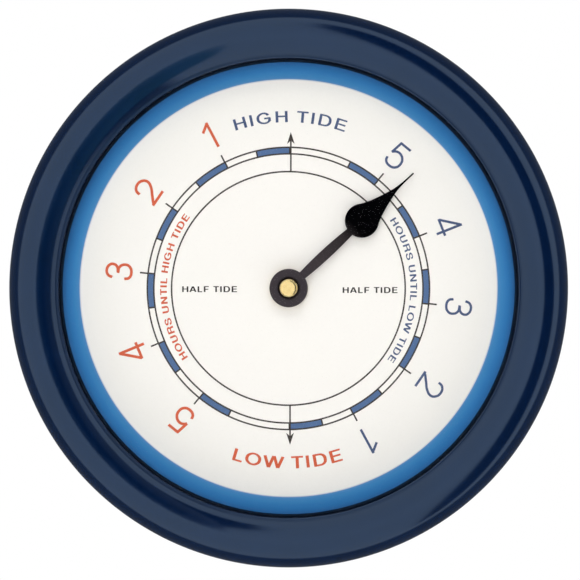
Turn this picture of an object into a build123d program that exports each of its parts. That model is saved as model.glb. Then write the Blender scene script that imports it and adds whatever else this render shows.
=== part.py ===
"""Wall tide clock: a moulded round case, a printed dial and one hand, driven by a quartz movement.

Millimetres. +X is right and +Z is up as seen from the front, and the front faces -Y.
The back of the case lies on the wall plane, Y = 0, and the origin is the middle of the
keyhole in the hanger plate. Depths are measured from the wall towards the room.
"""

import os
from math import cos, radians, sin, sqrt

from build123d import *

os.makedirs("parts", exist_ok=True)

# Fits shared by several pieces
running_clearance = 0.05
end_clearance = 0.15
loose_clearance = 0.2
overrun = 1.0

# Case ring
case_radius = 101.6
case_depth = 38.0
roll_radius = 9.9
case_wall = 2.2
roll_width = 16.2
groove_depth = 0.6
groove_width = 0.5
bead_width = 1.3
lip_width = 0.8
lip_drop = 0.5
skirt_wall = 1.6
case_screw_count = 6
case_boss_radius = 3.2
case_boss_root_share = 0.75

# Lens, spacer, dial and backplate, stacked from the front rearwards
lens_front_depth = 32.5
lens_thickness = 2.0
lens_overlap = 1.6
spacer_height = 9.5
dial_thickness = 0.5
backplate_thickness = 2.0
backplate_rim_gap = 0.8
rib_count = 8
rib_height = 1.6
rib_width = 1.6
rib_inner_radius = 44.0
rib_edge_gap = 10.6

# Screws
case_screw_radius = 1.4
case_screw_length = 9.0
case_screw_head_radius = 3.0
case_screw_head_height = 1.8
slot_width = 0.8
slot_depth = 0.7
movement_screw_radius = 0.8
movement_screw_length = 6.0
movement_screw_head_radius = 1.5
movement_screw_head_height = 1.0
stator_screw_radius = 0.6
stator_screw_length = 3.4
stator_screw_head_radius = 1.3
stator_screw_head_height = 0.8

# Hanger plate and the keyhole that the wall screw enters
hanger_inset = 16.6
hanger_thickness = 1.6
hanger_width = 40.0
hanger_height = 21.0
hanger_drop = 9.0
hanger_corner_radius = 3.0
keyhole_radius = 4.5
keyslot_width = 4.5
keyslot_length = 6.5
hanger_screw_spacing = 30.0
hanger_boss_radius = 4.2
hanger_screw_head_radius = 2.9

# Threaded bushing, its washers and nut, and the hole they fill
bushing_radius = 4.0
bushing_flange_radius = 5.2
bushing_flange_thickness = 0.7
bushing_reach = 6.5
rubber_washer_radius = 8.0
rubber_washer_thickness = 1.0
brass_washer_radius = 6.4
brass_washer_thickness = 0.5
nut_across_flats = 11.5
nut_thickness = 2.0

# Hand, its hub and the closed nut
arbor_radius = 1.5
hub_radius = 7.0
hub_thickness = 2.0
hub_gap = 0.5
hub_chamfer = 0.25
hand_length = 61.9
hand_thickness = 0.6
hand_angle = 42.6
stem_root_width = 2.4
stem_belly_width = 3.8
stem_belly_reach = 19.7
stem_neck_width = 2.9
spade_radius = 6.2
spade_reach = 36.3
spade_shoulder_angle = 38.0
hand_tip_width = 0.55
flank_reach_shares = (0.2, 0.4, 0.6, 0.76)
flank_width_shares = (0.487, 0.277, 0.111, 0.06)
cap_nut_radius = 3.35
cap_nut_height = 2.8
cap_nut_dome = 1.1
cap_thread_depth = 1.9

# Movement housing
movement_width = 56.0
movement_depth = 14.5
movement_wall = 1.5
movement_corner_radius = 2.0
bay_wall = 1.0
bay_floor = 0.8
post_radius = 2.0
post_hole_depth = 7.0
post_inset_x = 4.4
post_low_y = -8.4
post_high_inset_y = 4.0
post_side_y = 7.0

# Battery bay and cell
battery_radius = 7.1
battery_length = 50.5
battery_nub_radius = 2.7
battery_nub_length = 1.3
battery_edge_radius = 0.8
bay_clearance = 0.4
contact_thickness = 0.4
contact_gap = 0.1
contact_plate_width = 6.0
contact_plate_height = 9.0
strap_width = 2.0

# Wheels, stacked from the front wall of the movement rearwards
layer_gap = 0.6
motion_thickness = 1.0
train_thickness = 0.8
magnet_thickness = 1.3
addendum_share = 0.8
dedendum_share = 1.2
tooth_root_share = 0.29
tooth_tip_share = 0.12
motion_module = 0.4
train_module = 0.25
fourth_module = 0.22
motor_module = 0.2
tide_teeth = 40
transfer_pinion_teeth = 11
transfer_teeth = 41
cannon_teeth = 12
hour_teeth = 64
third_teeth = 60
fourth_teeth = 60
intermediate_teeth = 60
train_pinion_teeth = 8
intermediate_pinion_teeth = 10
rotor_teeth = 12
transfer_bearing = 180.0
hour_bearing = 72.4
third_bearing = 0.0
fourth_bearing = -28.4
intermediate_bearing = 38.5
rotor_bearing = 139.8
shaft_radius = 0.6
hour_shaft_radius = 0.9
transfer_shaft_radius = 0.8
pivot_radius = 0.35
pivot_length = 0.8
pivot_hole_depth = 1.0
tide_pivot_radius = 0.8
cannon_sleeve_radius = 1.6
cannon_sleeve_length = 0.7
window_count = 5
window_reach_share = 0.56
window_radius_share = 0.18
magnet_radius = 3.0

# Setting knob
knob_radius = 6.5
knob_thickness = 2.0
knob_flute_count = 24
knob_flute_radius = 0.5

# Stepping motor
stator_thickness = 1.0
stator_strip_width = 5.0
stator_eye_radius = 5.2
stator_gap = 0.4
stator_half_length = 13.0
stator_leg_width = 4.0
coil_offset = 7.5
coil_core_width = 2.0
coil_core_thickness = 1.0
bobbin_length = 17.0
bobbin_flange_radius = 2.2
bobbin_flange_thickness = 0.8
bobbin_barrel_radius = 1.45
winding_margin = 0.15

# Circuit board
board_length = 16.0
board_width = 6.0
board_thickness = 1.0
board_left_gap = 5.6
board_top_gap = 1.0
board_pin_radius = 0.6
board_pin_inset = 1.4
crystal_radius = 1.0
crystal_length = 6.0
chip_radius = 2.0
chip_height = 0.9

# Depths worked out from the stack
lens_rear_depth = lens_front_depth - lens_thickness
dial_front_depth = lens_rear_depth - spacer_height
dial_rear_depth = dial_front_depth - dial_thickness
backplate_rear_depth = dial_rear_depth - backplate_thickness
movement_front_depth = backplate_rear_depth - rubber_washer_thickness
movement_rear_depth = movement_front_depth - movement_depth
cavity_front_depth = movement_front_depth - movement_wall
cavity_rear_depth = movement_rear_depth + movement_wall
bushing_top_depth = movement_front_depth + bushing_reach
brass_washer_front_depth = dial_front_depth + brass_washer_thickness
hub_rear_depth = bushing_top_depth + hub_gap
hub_front_depth = hub_rear_depth + hub_thickness

# Radii worked out from the case ring
roll_centre_radius = case_radius - roll_radius
roll_centre_depth = case_depth - roll_radius
roll_inner_radius = case_radius - roll_width
roll_rise = sqrt(roll_radius**2 - (roll_centre_radius - roll_inner_radius) ** 2)
groove_radius = roll_inner_radius - groove_width
groove_floor_depth = roll_centre_depth + roll_rise - groove_depth
lip_radius = groove_radius - bead_width
opening_radius = lip_radius - lip_width
recess_radius = opening_radius + lens_overlap + loose_clearance
skirt_radius = recess_radius + skirt_wall
inner_roll_radius = roll_radius - case_wall
backplate_radius = case_radius - case_wall - backplate_rim_gap
case_screw_circle_radius = (skirt_radius + case_radius - case_wall) / 2
rib_outer_radius = backplate_radius - rib_edge_gap
bushing_hole_radius = bushing_radius + loose_clearance
half_movement = movement_width / 2

# Height of the keyhole over the hand's axis
hang_height = backplate_radius - hanger_inset

# Battery bay worked out from the cell
bay_low_y = -half_movement + bay_wall
bay_high_y = bay_low_y + 2 * (battery_radius + bay_clearance)
divider_top_y = bay_high_y + bay_wall
battery_y = (bay_low_y + bay_high_y) / 2
bay_floor_depth = movement_front_depth - bay_floor
battery_depth = bay_floor_depth - loose_clearance - battery_radius
cavity_half_width = half_movement - movement_wall

hand_axis = Axis((0, 0, -hang_height), (0, -1, 0))
section = Plane(origin=(0, 0, -hang_height), x_dir=(1, 0, 0), z_dir=(0, 0, -1))


def face_at(depth, turn=0):
    """Plane parallel to the wall at a depth, centred on the hand's axis, facing the room."""
    across = (cos(radians(turn)), 0, sin(radians(turn)))
    return Plane(origin=(0, -depth, -hang_height), x_dir=across, z_dir=(0, -1, 0))


def meshing_place(place, bearing, teeth, other_teeth, module):
    """Axis of a wheel that meshes with the wheel at place, at a bearing from it."""
    reach = module * (teeth + other_teeth) / 2
    angle = radians(bearing)
    return (place[0] + reach * cos(angle), place[1] + reach * sin(angle))


def meshing_phase(phase, bearing, teeth, other_teeth):
    """Angle of one tooth of the other wheel that puts its teeth in the first wheel's gaps."""
    turned = (phase - bearing) * teeth / 360
    return bearing + 180 + 360 / other_teeth * (1 / 2 - turned)


def gear_corners(teeth, module, phase):
    """Corners of a gear outline with straight-sided teeth, one of them centred on phase."""
    pitch_radius = module * teeth / 2
    tip_radius = pitch_radius + addendum_share * module
    root_radius = pitch_radius - dedendum_share * module
    corners = []
    for tooth in range(teeth):
        for radius, offset_share in (
            (root_radius, -tooth_root_share),
            (tip_radius, -tooth_tip_share),
            (tip_radius, tooth_tip_share),
            (root_radius, tooth_root_share),
        ):
            angle = radians(phase + (tooth + offset_share) * 360 / teeth)
            corners.append((radius * cos(angle), radius * sin(angle)))
    return corners


def layer_depth(start):
    """Front depth of a layer that starts this far behind the movement's front wall."""
    return cavity_front_depth - start


def round_boss(place, front_depth, length, radius):
    """Cylinder from a front depth rearwards, round an axis square to the wall."""
    with BuildSketch(face_at(front_depth)) as outline:
        with Locations(place):
            Circle(radius)
    extrude(outline.sketch, amount=-length)


def round_hole(place, front_depth, length, radius):
    """Round hole from a front depth rearwards, round an axis square to the wall."""
    with BuildSketch(face_at(front_depth)) as outline:
        with Locations(place):
            Circle(radius)
    extrude(outline.sketch, amount=-length, mode=Mode.SUBTRACT)


def toothed_disc(place, start, thickness, teeth, module, phase):
    """Toothed disc in the layer that starts this far behind the movement's front wall."""
    with BuildSketch(face_at(layer_depth(start))) as outline:
        with Locations(place):
            Polygon(*gear_corners(teeth, module, phase), align=None)
    extrude(outline.sketch, amount=-thickness)


def window_cuts(place, start, thickness, teeth, module):
    """Round windows between the spokes of a wheel."""
    pitch_radius = module * teeth / 2
    with BuildSketch(face_at(layer_depth(start))) as windows:
        with Locations(place):
            with PolarLocations(window_reach_share * pitch_radius, window_count):
                Circle(window_radius_share * pitch_radius)
    extrude(windows.sketch, amount=-thickness, mode=Mode.SUBTRACT)


def pivoted_shaft(place, radius):
    """Shaft across the movement with a thin pivot at each end."""
    length = cavity_front_depth - cavity_rear_depth
    round_boss(place, layer_depth(end_clearance), length - 2 * end_clearance, radius)
    pivot_front_depth = layer_depth(end_clearance) + pivot_length
    pivot_reach = length - 2 * end_clearance + 2 * pivot_length
    round_boss(place, pivot_front_depth, pivot_reach, pivot_radius)


# Layers of wheels, as distances behind the movement's front wall
tide_layer = layer_gap
cannon_layer = tide_layer + motion_thickness + layer_gap
hour_layer = cannon_layer + motion_thickness + layer_gap
third_layer = hour_layer + train_thickness + layer_gap
fourth_layer = third_layer + train_thickness + layer_gap
intermediate_layer = fourth_layer + train_thickness + layer_gap
magnet_layer = intermediate_layer + train_thickness + layer_gap
stator_layer = magnet_layer + (magnet_thickness - stator_thickness) / 2
cavity_length = cavity_front_depth - cavity_rear_depth

# Places of the arbors, and the phases that set the wheels in mesh
tide_place = (0, 0)
transfer_place = meshing_place(
    tide_place, transfer_bearing, tide_teeth, transfer_pinion_teeth, motion_module
)
hour_place = meshing_place(transfer_place, hour_bearing, transfer_teeth, cannon_teeth, motion_module)
third_place = meshing_place(hour_place, third_bearing, hour_teeth, train_pinion_teeth, train_module)
fourth_place = meshing_place(
    third_place, fourth_bearing, third_teeth, train_pinion_teeth, train_module
)
intermediate_place = meshing_place(
    fourth_place, intermediate_bearing, fourth_teeth, intermediate_pinion_teeth, fourth_module
)
rotor_place = meshing_place(
    intermediate_place, rotor_bearing, intermediate_teeth, rotor_teeth, motor_module
)
transfer_phase = meshing_phase(0, transfer_bearing, tide_teeth, transfer_pinion_teeth)
cannon_phase = meshing_phase(transfer_phase, hour_bearing, transfer_teeth, cannon_teeth)
third_phase = meshing_phase(0, third_bearing, hour_teeth, train_pinion_teeth)
fourth_phase = meshing_phase(third_phase, fourth_bearing, third_teeth, train_pinion_teeth)
intermediate_phase = meshing_phase(
    fourth_phase, intermediate_bearing, fourth_teeth, intermediate_pinion_teeth
)
rotor_phase = meshing_phase(intermediate_phase, rotor_bearing, intermediate_teeth, rotor_teeth)
pivot_places = (hour_place, third_place, fourth_place, intermediate_place, rotor_place)

# Posts for the movement's cover, the coil's line and the circuit board's place
post_x = half_movement - post_inset_x
post_places = (
    (-post_x, post_low_y),
    (post_x, post_low_y),
    (post_x, post_side_y),
    (-post_x, half_movement - post_high_inset_y),
)
coil_y = rotor_place[1] + coil_offset
leg_reach = stator_half_length - stator_leg_width / 2
stator_screw_places = (
    (rotor_place[0] - leg_reach, coil_y),
    (rotor_place[0] + leg_reach, coil_y),
)
core_front_layer = stator_layer - coil_core_thickness
coil_depth = layer_depth(core_front_layer + coil_core_thickness / 2)
board_left_x = -cavity_half_width + board_left_gap
board_top_y = half_movement - movement_wall - board_top_gap
board_place = (board_left_x + board_length / 2, board_top_y - board_width / 2)
board_pin_reach = board_length / 2 - board_pin_inset
board_pin_places = (
    (board_place[0] - board_pin_reach, board_place[1]),
    (board_place[0] + board_pin_reach, board_place[1]),
)
strap_front_depth = layer_depth(stator_layer + (board_thickness - strap_width) / 2)

# Bosses of the backplate that carry the hanger plate
hanger_boss_places = (
    (-hanger_screw_spacing / 2, hang_height),
    (hanger_screw_spacing / 2, hang_height),
)

# Case ring: one moulding, a thin shell rolled over to the front, with a skirt for the lens
with BuildPart() as case_ring:
    with BuildSketch(section):
        with BuildLine():
            half_turn = radians(45)
            roll_end = (roll_inner_radius, roll_centre_depth + roll_rise)
            roll_crest = (roll_centre_radius, case_depth)
            Line((case_radius, 0), (case_radius, roll_centre_depth))
            ThreePointArc(
                (case_radius, roll_centre_depth),
                (
                    roll_centre_radius + roll_radius * cos(half_turn),
                    roll_centre_depth + roll_radius * sin(half_turn),
                ),
                roll_crest,
            )
            RadiusArc(roll_crest, roll_end, -roll_radius)
            Polyline(
                roll_end,
                (roll_inner_radius, groove_floor_depth),
                (groove_radius, groove_floor_depth),
            )
            ThreePointArc(
                (groove_radius, groove_floor_depth),
                (groove_radius - bead_width / 2, groove_floor_depth + bead_width / 2),
                (lip_radius, groove_floor_depth),
            )
            skirt_meets_roll = (
                skirt_radius,
                roll_centre_depth
                + sqrt(inner_roll_radius**2 - (roll_centre_radius - skirt_radius) ** 2),
            )
            inner_crest = (roll_centre_radius, roll_centre_depth + inner_roll_radius)
            Polyline(
                (lip_radius, groove_floor_depth),
                (opening_radius, groove_floor_depth - lip_drop),
                (opening_radius, lens_front_depth),
                (recess_radius, lens_front_depth),
                (recess_radius, dial_rear_depth),
                (skirt_radius, dial_rear_depth),
                skirt_meets_roll,
            )
            RadiusArc(skirt_meets_roll, inner_crest, inner_roll_radius)
            ThreePointArc(
                inner_crest,
                (
                    roll_centre_radius + inner_roll_radius * cos(half_turn),
                    roll_centre_depth + inner_roll_radius * sin(half_turn),
                ),
                (case_radius - case_wall, roll_centre_depth),
            )
            Polyline(
                (case_radius - case_wall, roll_centre_depth),
                (case_radius - case_wall, 0),
                (case_radius, 0),
            )
        make_face()
    revolve(axis=hand_axis)
    boss_front_depth = case_depth - case_boss_root_share * case_wall
    with BuildSketch(face_at(dial_rear_depth)):
        with PolarLocations(case_screw_circle_radius, case_screw_count):
            Circle(case_boss_radius)
    extrude(amount=boss_front_depth - dial_rear_depth)
    with BuildSketch(face_at(dial_rear_depth)):
        with PolarLocations(case_screw_circle_radius, case_screw_count):
            Circle(case_screw_radius)
    extrude(amount=case_screw_length - backplate_thickness + overrun, mode=Mode.SUBTRACT)
case_ring.part.label = "case_ring"
export_step(case_ring.part, "parts/case_ring.step")

# Lens: flat clear disc against the ring's inner ledge
lens_radius = recess_radius - loose_clearance
with BuildPart() as lens_glass:
    with BuildSketch(face_at(lens_rear_depth)):
        Circle(lens_radius)
    extrude(amount=lens_thickness)
lens_glass.part.label = "lens_glass"
export_step(lens_glass.part, "parts/lens_glass.step")

# Spacer ring: keeps the lens off the dial and hides the skirt
with BuildPart() as spacer_ring:
    with BuildSketch(face_at(dial_front_depth)):
        Circle(lens_radius)
        Circle(opening_radius, mode=Mode.SUBTRACT)
    extrude(amount=spacer_height)
spacer_ring.part.label = "spacer_ring"
export_step(spacer_ring.part, "parts/spacer_ring.step")

# Dial: printed sheet with a hole for the bushing
with BuildPart() as dial:
    with BuildSketch(face_at(dial_rear_depth)):
        Circle(lens_radius)
        Circle(bushing_hole_radius, mode=Mode.SUBTRACT)
    extrude(amount=dial_thickness)
dial.part.label = "dial"
export_step(dial.part, "parts/dial.step")

# Backplate: closes the case, carries the movement, and has ribs and two hanger bosses
hanger_boss_length = backplate_rear_depth - hanger_thickness
with BuildPart() as backplate:
    with BuildSketch(face_at(backplate_rear_depth)):
        Circle(backplate_radius)
        Circle(bushing_hole_radius, mode=Mode.SUBTRACT)
        with PolarLocations(case_screw_circle_radius, case_screw_count):
            Circle(case_screw_radius, mode=Mode.SUBTRACT)
    extrude(amount=backplate_thickness)
    with BuildSketch(face_at(backplate_rear_depth)):
        rib_reach = (rib_inner_radius + rib_outer_radius) / 2
        with PolarLocations(rib_reach, rib_count, start_angle=360 / rib_count / 2):
            Rectangle(rib_outer_radius - rib_inner_radius, rib_width)
    extrude(amount=-rib_height)
    with BuildSketch(face_at(backplate_rear_depth)):
        with Locations(*hanger_boss_places):
            Circle(hanger_boss_radius)
    extrude(amount=-hanger_boss_length)
    with BuildSketch(face_at(hanger_thickness)):
        with Locations(*hanger_boss_places):
            Circle(case_screw_radius)
    extrude(amount=case_screw_length - hanger_thickness + overrun, mode=Mode.SUBTRACT)
backplate.part.label = "backplate"
export_step(backplate.part, "parts/backplate.step")

# Backplate screws: pan heads with a cross slot, one in each boss of the ring
with BuildPart() as backplate_screws:
    with BuildSketch(face_at(backplate_rear_depth - case_screw_head_height)):
        with PolarLocations(case_screw_circle_radius, case_screw_count):
            Circle(case_screw_head_radius)
    extrude(amount=case_screw_head_height)
    with BuildSketch(face_at(backplate_rear_depth)):
        with PolarLocations(case_screw_circle_radius, case_screw_count):
            Circle(case_screw_radius)
    extrude(amount=case_screw_length)
    with BuildSketch(face_at(backplate_rear_depth - case_screw_head_height)):
        with PolarLocations(case_screw_circle_radius, case_screw_count):
            Rectangle(case_screw_head_radius * 4 / 3, slot_width)
            Rectangle(slot_width, case_screw_head_radius * 4 / 3)
    extrude(amount=slot_depth, mode=Mode.SUBTRACT)
backplate_screws.part.label = "backplate_screws"
export_step(backplate_screws.part, "parts/backplate_screws.step")

# Hanger plate: steel, flush with the wall, with a keyhole and two countersunk holes
with BuildPart() as hanger_plate:
    with BuildSketch(face_at(0)):
        with Locations((0, hang_height - hanger_drop + hanger_height / 2)):
            RectangleRounded(hanger_width, hanger_height, hanger_corner_radius)
    extrude(amount=hanger_thickness)
    with BuildSketch(face_at(0)):
        with Locations((0, hang_height)):
            Circle(keyhole_radius)
        with Locations((0, hang_height + keyslot_length / 2)):
            Rectangle(keyslot_width, keyslot_length)
        with Locations((0, hang_height + keyslot_length)):
            Circle(keyslot_width / 2)
    extrude(amount=hanger_thickness, mode=Mode.SUBTRACT)
    for boss_place in hanger_boss_places:
        with BuildSketch(face_at(0)):
            with Locations(boss_place):
                Circle(hanger_screw_head_radius)
        with BuildSketch(face_at(hanger_thickness)):
            with Locations(boss_place):
                Circle(case_screw_radius)
        loft(mode=Mode.SUBTRACT)
hanger_plate.part.label = "hanger_plate"
export_step(hanger_plate.part, "parts/hanger_plate.step")

# Hanger screws: flat heads sunk flush into the plate
with BuildPart() as hanger_screws:
    for boss_place in hanger_boss_places:
        with BuildSketch(face_at(0)):
            with Locations(boss_place):
                Circle(hanger_screw_head_radius)
        with BuildSketch(face_at(hanger_thickness)):
            with Locations(boss_place):
                Circle(case_screw_radius)
        loft()
    with BuildSketch(face_at(hanger_thickness)):
        with Locations(*hanger_boss_places):
            Circle(case_screw_radius)
    extrude(amount=case_screw_length - hanger_thickness)
    with BuildSketch(face_at(0)):
        with Locations(*hanger_boss_places):
            Rectangle(hanger_screw_head_radius * 4 / 3, slot_width)
            Rectangle(slot_width, hanger_screw_head_radius * 4 / 3)
    extrude(amount=slot_depth, mode=Mode.SUBTRACT)
hanger_screws.part.label = "hanger_screws"
export_step(hanger_screws.part, "parts/hanger_screws.step")

# Movement case: square tray with the wheel chamber above and the battery bay below
strap_notch_width = contact_thickness + loose_clearance
with BuildPart() as movement_case:
    with BuildSketch(face_at(movement_rear_depth)):
        RectangleRounded(movement_width, movement_width, movement_corner_radius)
    extrude(amount=movement_depth)
    cover_height = half_movement - bay_high_y
    with BuildSketch(face_at(movement_rear_depth)):
        with Locations((0, bay_high_y + cover_height / 2)):
            Rectangle(movement_width, cover_height)
    extrude(amount=movement_wall, mode=Mode.SUBTRACT)
    chamber_height = cavity_half_width - divider_top_y
    with BuildSketch(face_at(cavity_rear_depth)):
        with Locations((0, divider_top_y + chamber_height / 2)):
            Rectangle(2 * cavity_half_width, chamber_height)
    extrude(amount=cavity_length, mode=Mode.SUBTRACT)
    with BuildSketch(face_at(movement_rear_depth)):
        with Locations((0, battery_y)):
            Rectangle(2 * cavity_half_width, bay_high_y - bay_low_y)
    extrude(amount=movement_depth - bay_floor, mode=Mode.SUBTRACT)
    with BuildSketch(face_at(cavity_rear_depth)):
        notch_x = cavity_half_width - strap_notch_width / 2
        with Locations((-notch_x, divider_top_y - bay_wall / 2), (notch_x, divider_top_y - bay_wall / 2)):
            Rectangle(strap_notch_width, bay_wall)
    extrude(amount=strap_front_depth + loose_clearance - cavity_rear_depth, mode=Mode.SUBTRACT)
    with BuildSketch(face_at(cavity_rear_depth)):
        with Locations(*post_places):
            Circle(post_radius)
    extrude(amount=cavity_length)
    with BuildSketch(face_at(cavity_rear_depth)):
        with Locations(*post_places):
            Circle(movement_screw_radius)
    extrude(amount=post_hole_depth, mode=Mode.SUBTRACT)
    round_hole(tide_place, movement_front_depth, movement_wall, bushing_radius)
    flange_front_depth = cavity_front_depth + bushing_flange_thickness
    round_hole(tide_place, flange_front_depth, bushing_flange_thickness, bushing_flange_radius)
    for pivot_place in (transfer_place, *pivot_places):
        hole_front_depth = cavity_front_depth + pivot_hole_depth
        round_hole(
            pivot_place, hole_front_depth, pivot_hole_depth, pivot_radius + running_clearance
        )
movement_case.part.label = "movement_case"
export_step(movement_case.part, "parts/movement_case.step")

# Movement cover: closes the wheel chamber and carries the coil, the board and the rear pivots
stator_rear_depth = layer_depth(stator_layer + stator_thickness)
board_rear_depth = layer_depth(stator_layer + board_thickness)
with BuildPart() as movement_cover:
    with BuildSketch(face_at(movement_rear_depth)):
        RectangleRounded(movement_width, movement_width, movement_corner_radius)
        with Locations((0, -half_movement + (bay_high_y + half_movement) / 2)):
            Rectangle(movement_width, bay_high_y + half_movement, mode=Mode.SUBTRACT)
    extrude(amount=movement_wall)
    for screw_place in stator_screw_places:
        stator_post_height = stator_rear_depth - cavity_rear_depth
        round_boss(screw_place, stator_rear_depth, stator_post_height, stator_leg_width / 2)
        hole_front_depth = layer_depth(core_front_layer)
        round_hole(screw_place, hole_front_depth, stator_screw_length, stator_screw_radius)
    for pin_place in board_pin_places:
        board_post_height = board_rear_depth - cavity_rear_depth
        round_boss(pin_place, board_rear_depth, board_post_height, 2 * board_pin_radius)
        pin_length = board_post_height + board_thickness + loose_clearance
        round_boss(pin_place, cavity_rear_depth + pin_length, pin_length, board_pin_radius)
    for screw_place in post_places:
        screw_hole_radius = movement_screw_radius + running_clearance
        round_hole(screw_place, cavity_rear_depth, movement_wall, screw_hole_radius)
    for pivot_place in pivot_places:
        pivot_hole_radius = pivot_radius + running_clearance
        round_hole(pivot_place, cavity_rear_depth, pivot_hole_depth, pivot_hole_radius)
    tide_hole_radius = tide_pivot_radius + running_clearance
    round_hole(tide_place, cavity_rear_depth, pivot_hole_depth, tide_hole_radius)
    knob_hole_radius = transfer_shaft_radius + running_clearance
    round_hole(transfer_place, cavity_rear_depth, movement_wall, knob_hole_radius)
movement_cover.part.label = "movement_cover"
export_step(movement_cover.part, "parts/movement_cover.step")

# Movement screws: small pan heads that hold the cover on its posts
with BuildPart() as movement_screws:
    with BuildSketch(face_at(movement_rear_depth - movement_screw_head_height)):
        with Locations(*post_places):
            Circle(movement_screw_head_radius)
    extrude(amount=movement_screw_head_height)
    with BuildSketch(face_at(movement_rear_depth)):
        with Locations(*post_places):
            Circle(movement_screw_radius)
    extrude(amount=movement_screw_length)
    with BuildSketch(face_at(movement_rear_depth - movement_screw_head_height)):
        with Locations(*post_places):
            Rectangle(movement_screw_head_radius * 4 / 3, movement_screw_head_radius / 3)
            Rectangle(movement_screw_head_radius / 3, movement_screw_head_radius * 4 / 3)
    extrude(amount=movement_screw_head_height / 2, mode=Mode.SUBTRACT)
movement_screws.part.label = "movement_screws"
export_step(movement_screws.part, "parts/movement_screws.step")

# Threaded bushing: brass, flanged inside the movement's front wall
arbor_hole_radius = arbor_radius + running_clearance
with BuildPart() as threaded_bushing:
    with BuildSketch(face_at(cavity_front_depth)):
        Circle(bushing_flange_radius)
    extrude(amount=bushing_flange_thickness)
    with BuildSketch(face_at(cavity_front_depth)):
        Circle(bushing_radius)
    extrude(amount=bushing_top_depth - cavity_front_depth)
    with BuildSketch(face_at(cavity_front_depth)):
        Circle(arbor_hole_radius)
    extrude(amount=bushing_top_depth - cavity_front_depth, mode=Mode.SUBTRACT)
threaded_bushing.part.label = "threaded_bushing"
export_step(threaded_bushing.part, "parts/threaded_bushing.step")

# Rubber washer between the movement and the backplate
with BuildPart() as rubber_washer:
    with BuildSketch(face_at(movement_front_depth)):
        Circle(rubber_washer_radius)
        Circle(bushing_radius, mode=Mode.SUBTRACT)
    extrude(amount=rubber_washer_thickness)
rubber_washer.part.label = "rubber_washer"
export_step(rubber_washer.part, "parts/rubber_washer.step")

# Brass washer on the dial
with BuildPart() as brass_washer:
    with BuildSketch(face_at(dial_front_depth)):
        Circle(brass_washer_radius)
        Circle(bushing_radius, mode=Mode.SUBTRACT)
    extrude(amount=brass_washer_thickness)
brass_washer.part.label = "brass_washer"
export_step(brass_washer.part, "parts/brass_washer.step")

# Hex nut that clamps the dial and the backplate on the bushing
with BuildPart() as hex_nut:
    with BuildSketch(face_at(brass_washer_front_depth)):
        RegularPolygon(nut_across_flats / 2, side_count=6, major_radius=False)
        Circle(bushing_radius, mode=Mode.SUBTRACT)
    extrude(amount=nut_thickness)
hex_nut.part.label = "hex_nut"
export_step(hex_nut.part, "parts/hex_nut.step")

# Hand arbor: turns in the bushing, threaded at the front, with a thin rear pivot
arbor_rear_depth = layer_depth(tide_layer + motion_thickness + end_clearance)
arbor_front_depth = hub_front_depth + cap_thread_depth - end_clearance
arbor_tail_end_depth = cavity_rear_depth - pivot_length
with BuildPart() as tide_arbor:
    with BuildSketch(face_at(arbor_rear_depth)):
        Circle(arbor_radius)
    extrude(amount=arbor_front_depth - arbor_rear_depth)
    with BuildSketch(face_at(arbor_tail_end_depth)):
        Circle(tide_pivot_radius)
    extrude(amount=arbor_rear_depth - arbor_tail_end_depth)
tide_arbor.part.label = "tide_arbor"
export_step(tide_arbor.part, "parts/tide_arbor.step")

# Hand: thin blade with a leaf-shaped stem and a spade point, on a round hub
blade_rear_depth = hub_rear_depth + (hub_thickness - hand_thickness) / 2
neck_x = spade_reach - sqrt(spade_radius**2 - (stem_neck_width / 2) ** 2)
shoulder_turn = radians(spade_shoulder_angle)
shoulder = (
    spade_reach + spade_radius * sin(shoulder_turn),
    spade_radius * cos(shoulder_turn),
)
flank_run = hand_length - shoulder[0]
flank = [
    (shoulder[0] + reach_share * flank_run, width_share * spade_radius)
    for reach_share, width_share in zip(flank_reach_shares, flank_width_shares)
]
with BuildPart() as tide_hand:
    with BuildSketch(face_at(blade_rear_depth, hand_angle)):
        with BuildLine():
            Line((hub_radius / 2, 0), (hub_radius / 2, stem_root_width / 2))
            Spline(
                (hub_radius / 2, stem_root_width / 2),
                (stem_belly_reach, stem_belly_width / 2),
                (neck_x, stem_neck_width / 2),
            )
            ThreePointArc(
                (neck_x, stem_neck_width / 2), (spade_reach, spade_radius), shoulder
            )
            Spline(
                shoulder,
                *flank,
                (hand_length, hand_tip_width / 2),
            )
            Line((hand_length, hand_tip_width / 2), (hand_length, 0))
            mirror(about=Plane.XZ)
        make_face()
    extrude(amount=hand_thickness)
    with BuildSketch(face_at(hub_rear_depth)):
        Circle(hub_radius)
    extrude(amount=hub_thickness)
    hub_edge = tide_hand.edges().filter_by(GeomType.CIRCLE).sort_by(Axis.Y)[0]
    chamfer(hub_edge, length=hub_chamfer)
    with BuildSketch(face_at(hub_rear_depth)):
        Circle(arbor_radius)
    extrude(amount=hub_thickness, mode=Mode.SUBTRACT)
tide_hand.part.label = "tide_hand"
export_step(tide_hand.part, "parts/tide_hand.step")

# Cap nut: closed round nut with a domed front, screwed on the arbor
with BuildPart() as cap_nut:
    with BuildSketch(face_at(hub_front_depth)):
        Circle(cap_nut_radius)
    extrude(amount=cap_nut_height)
    fillet(cap_nut.edges().sort_by(Axis.Y)[0], radius=cap_nut_dome)
    with BuildSketch(face_at(hub_front_depth)):
        Circle(arbor_radius)
    extrude(amount=cap_thread_depth, mode=Mode.SUBTRACT)
cap_nut.part.label = "cap_nut"
export_step(cap_nut.part, "parts/cap_nut.step")

# Tide wheel: pressed on the hand's arbor
with BuildPart() as tide_wheel:
    toothed_disc(tide_place, tide_layer, motion_thickness, tide_teeth, motion_module, 0)
    window_cuts(tide_place, tide_layer, motion_thickness, tide_teeth, motion_module)
    round_hole(tide_place, layer_depth(tide_layer), motion_thickness, arbor_radius)
tide_wheel.part.label = "tide_wheel"
export_step(tide_wheel.part, "parts/tide_wheel.step")

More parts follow.
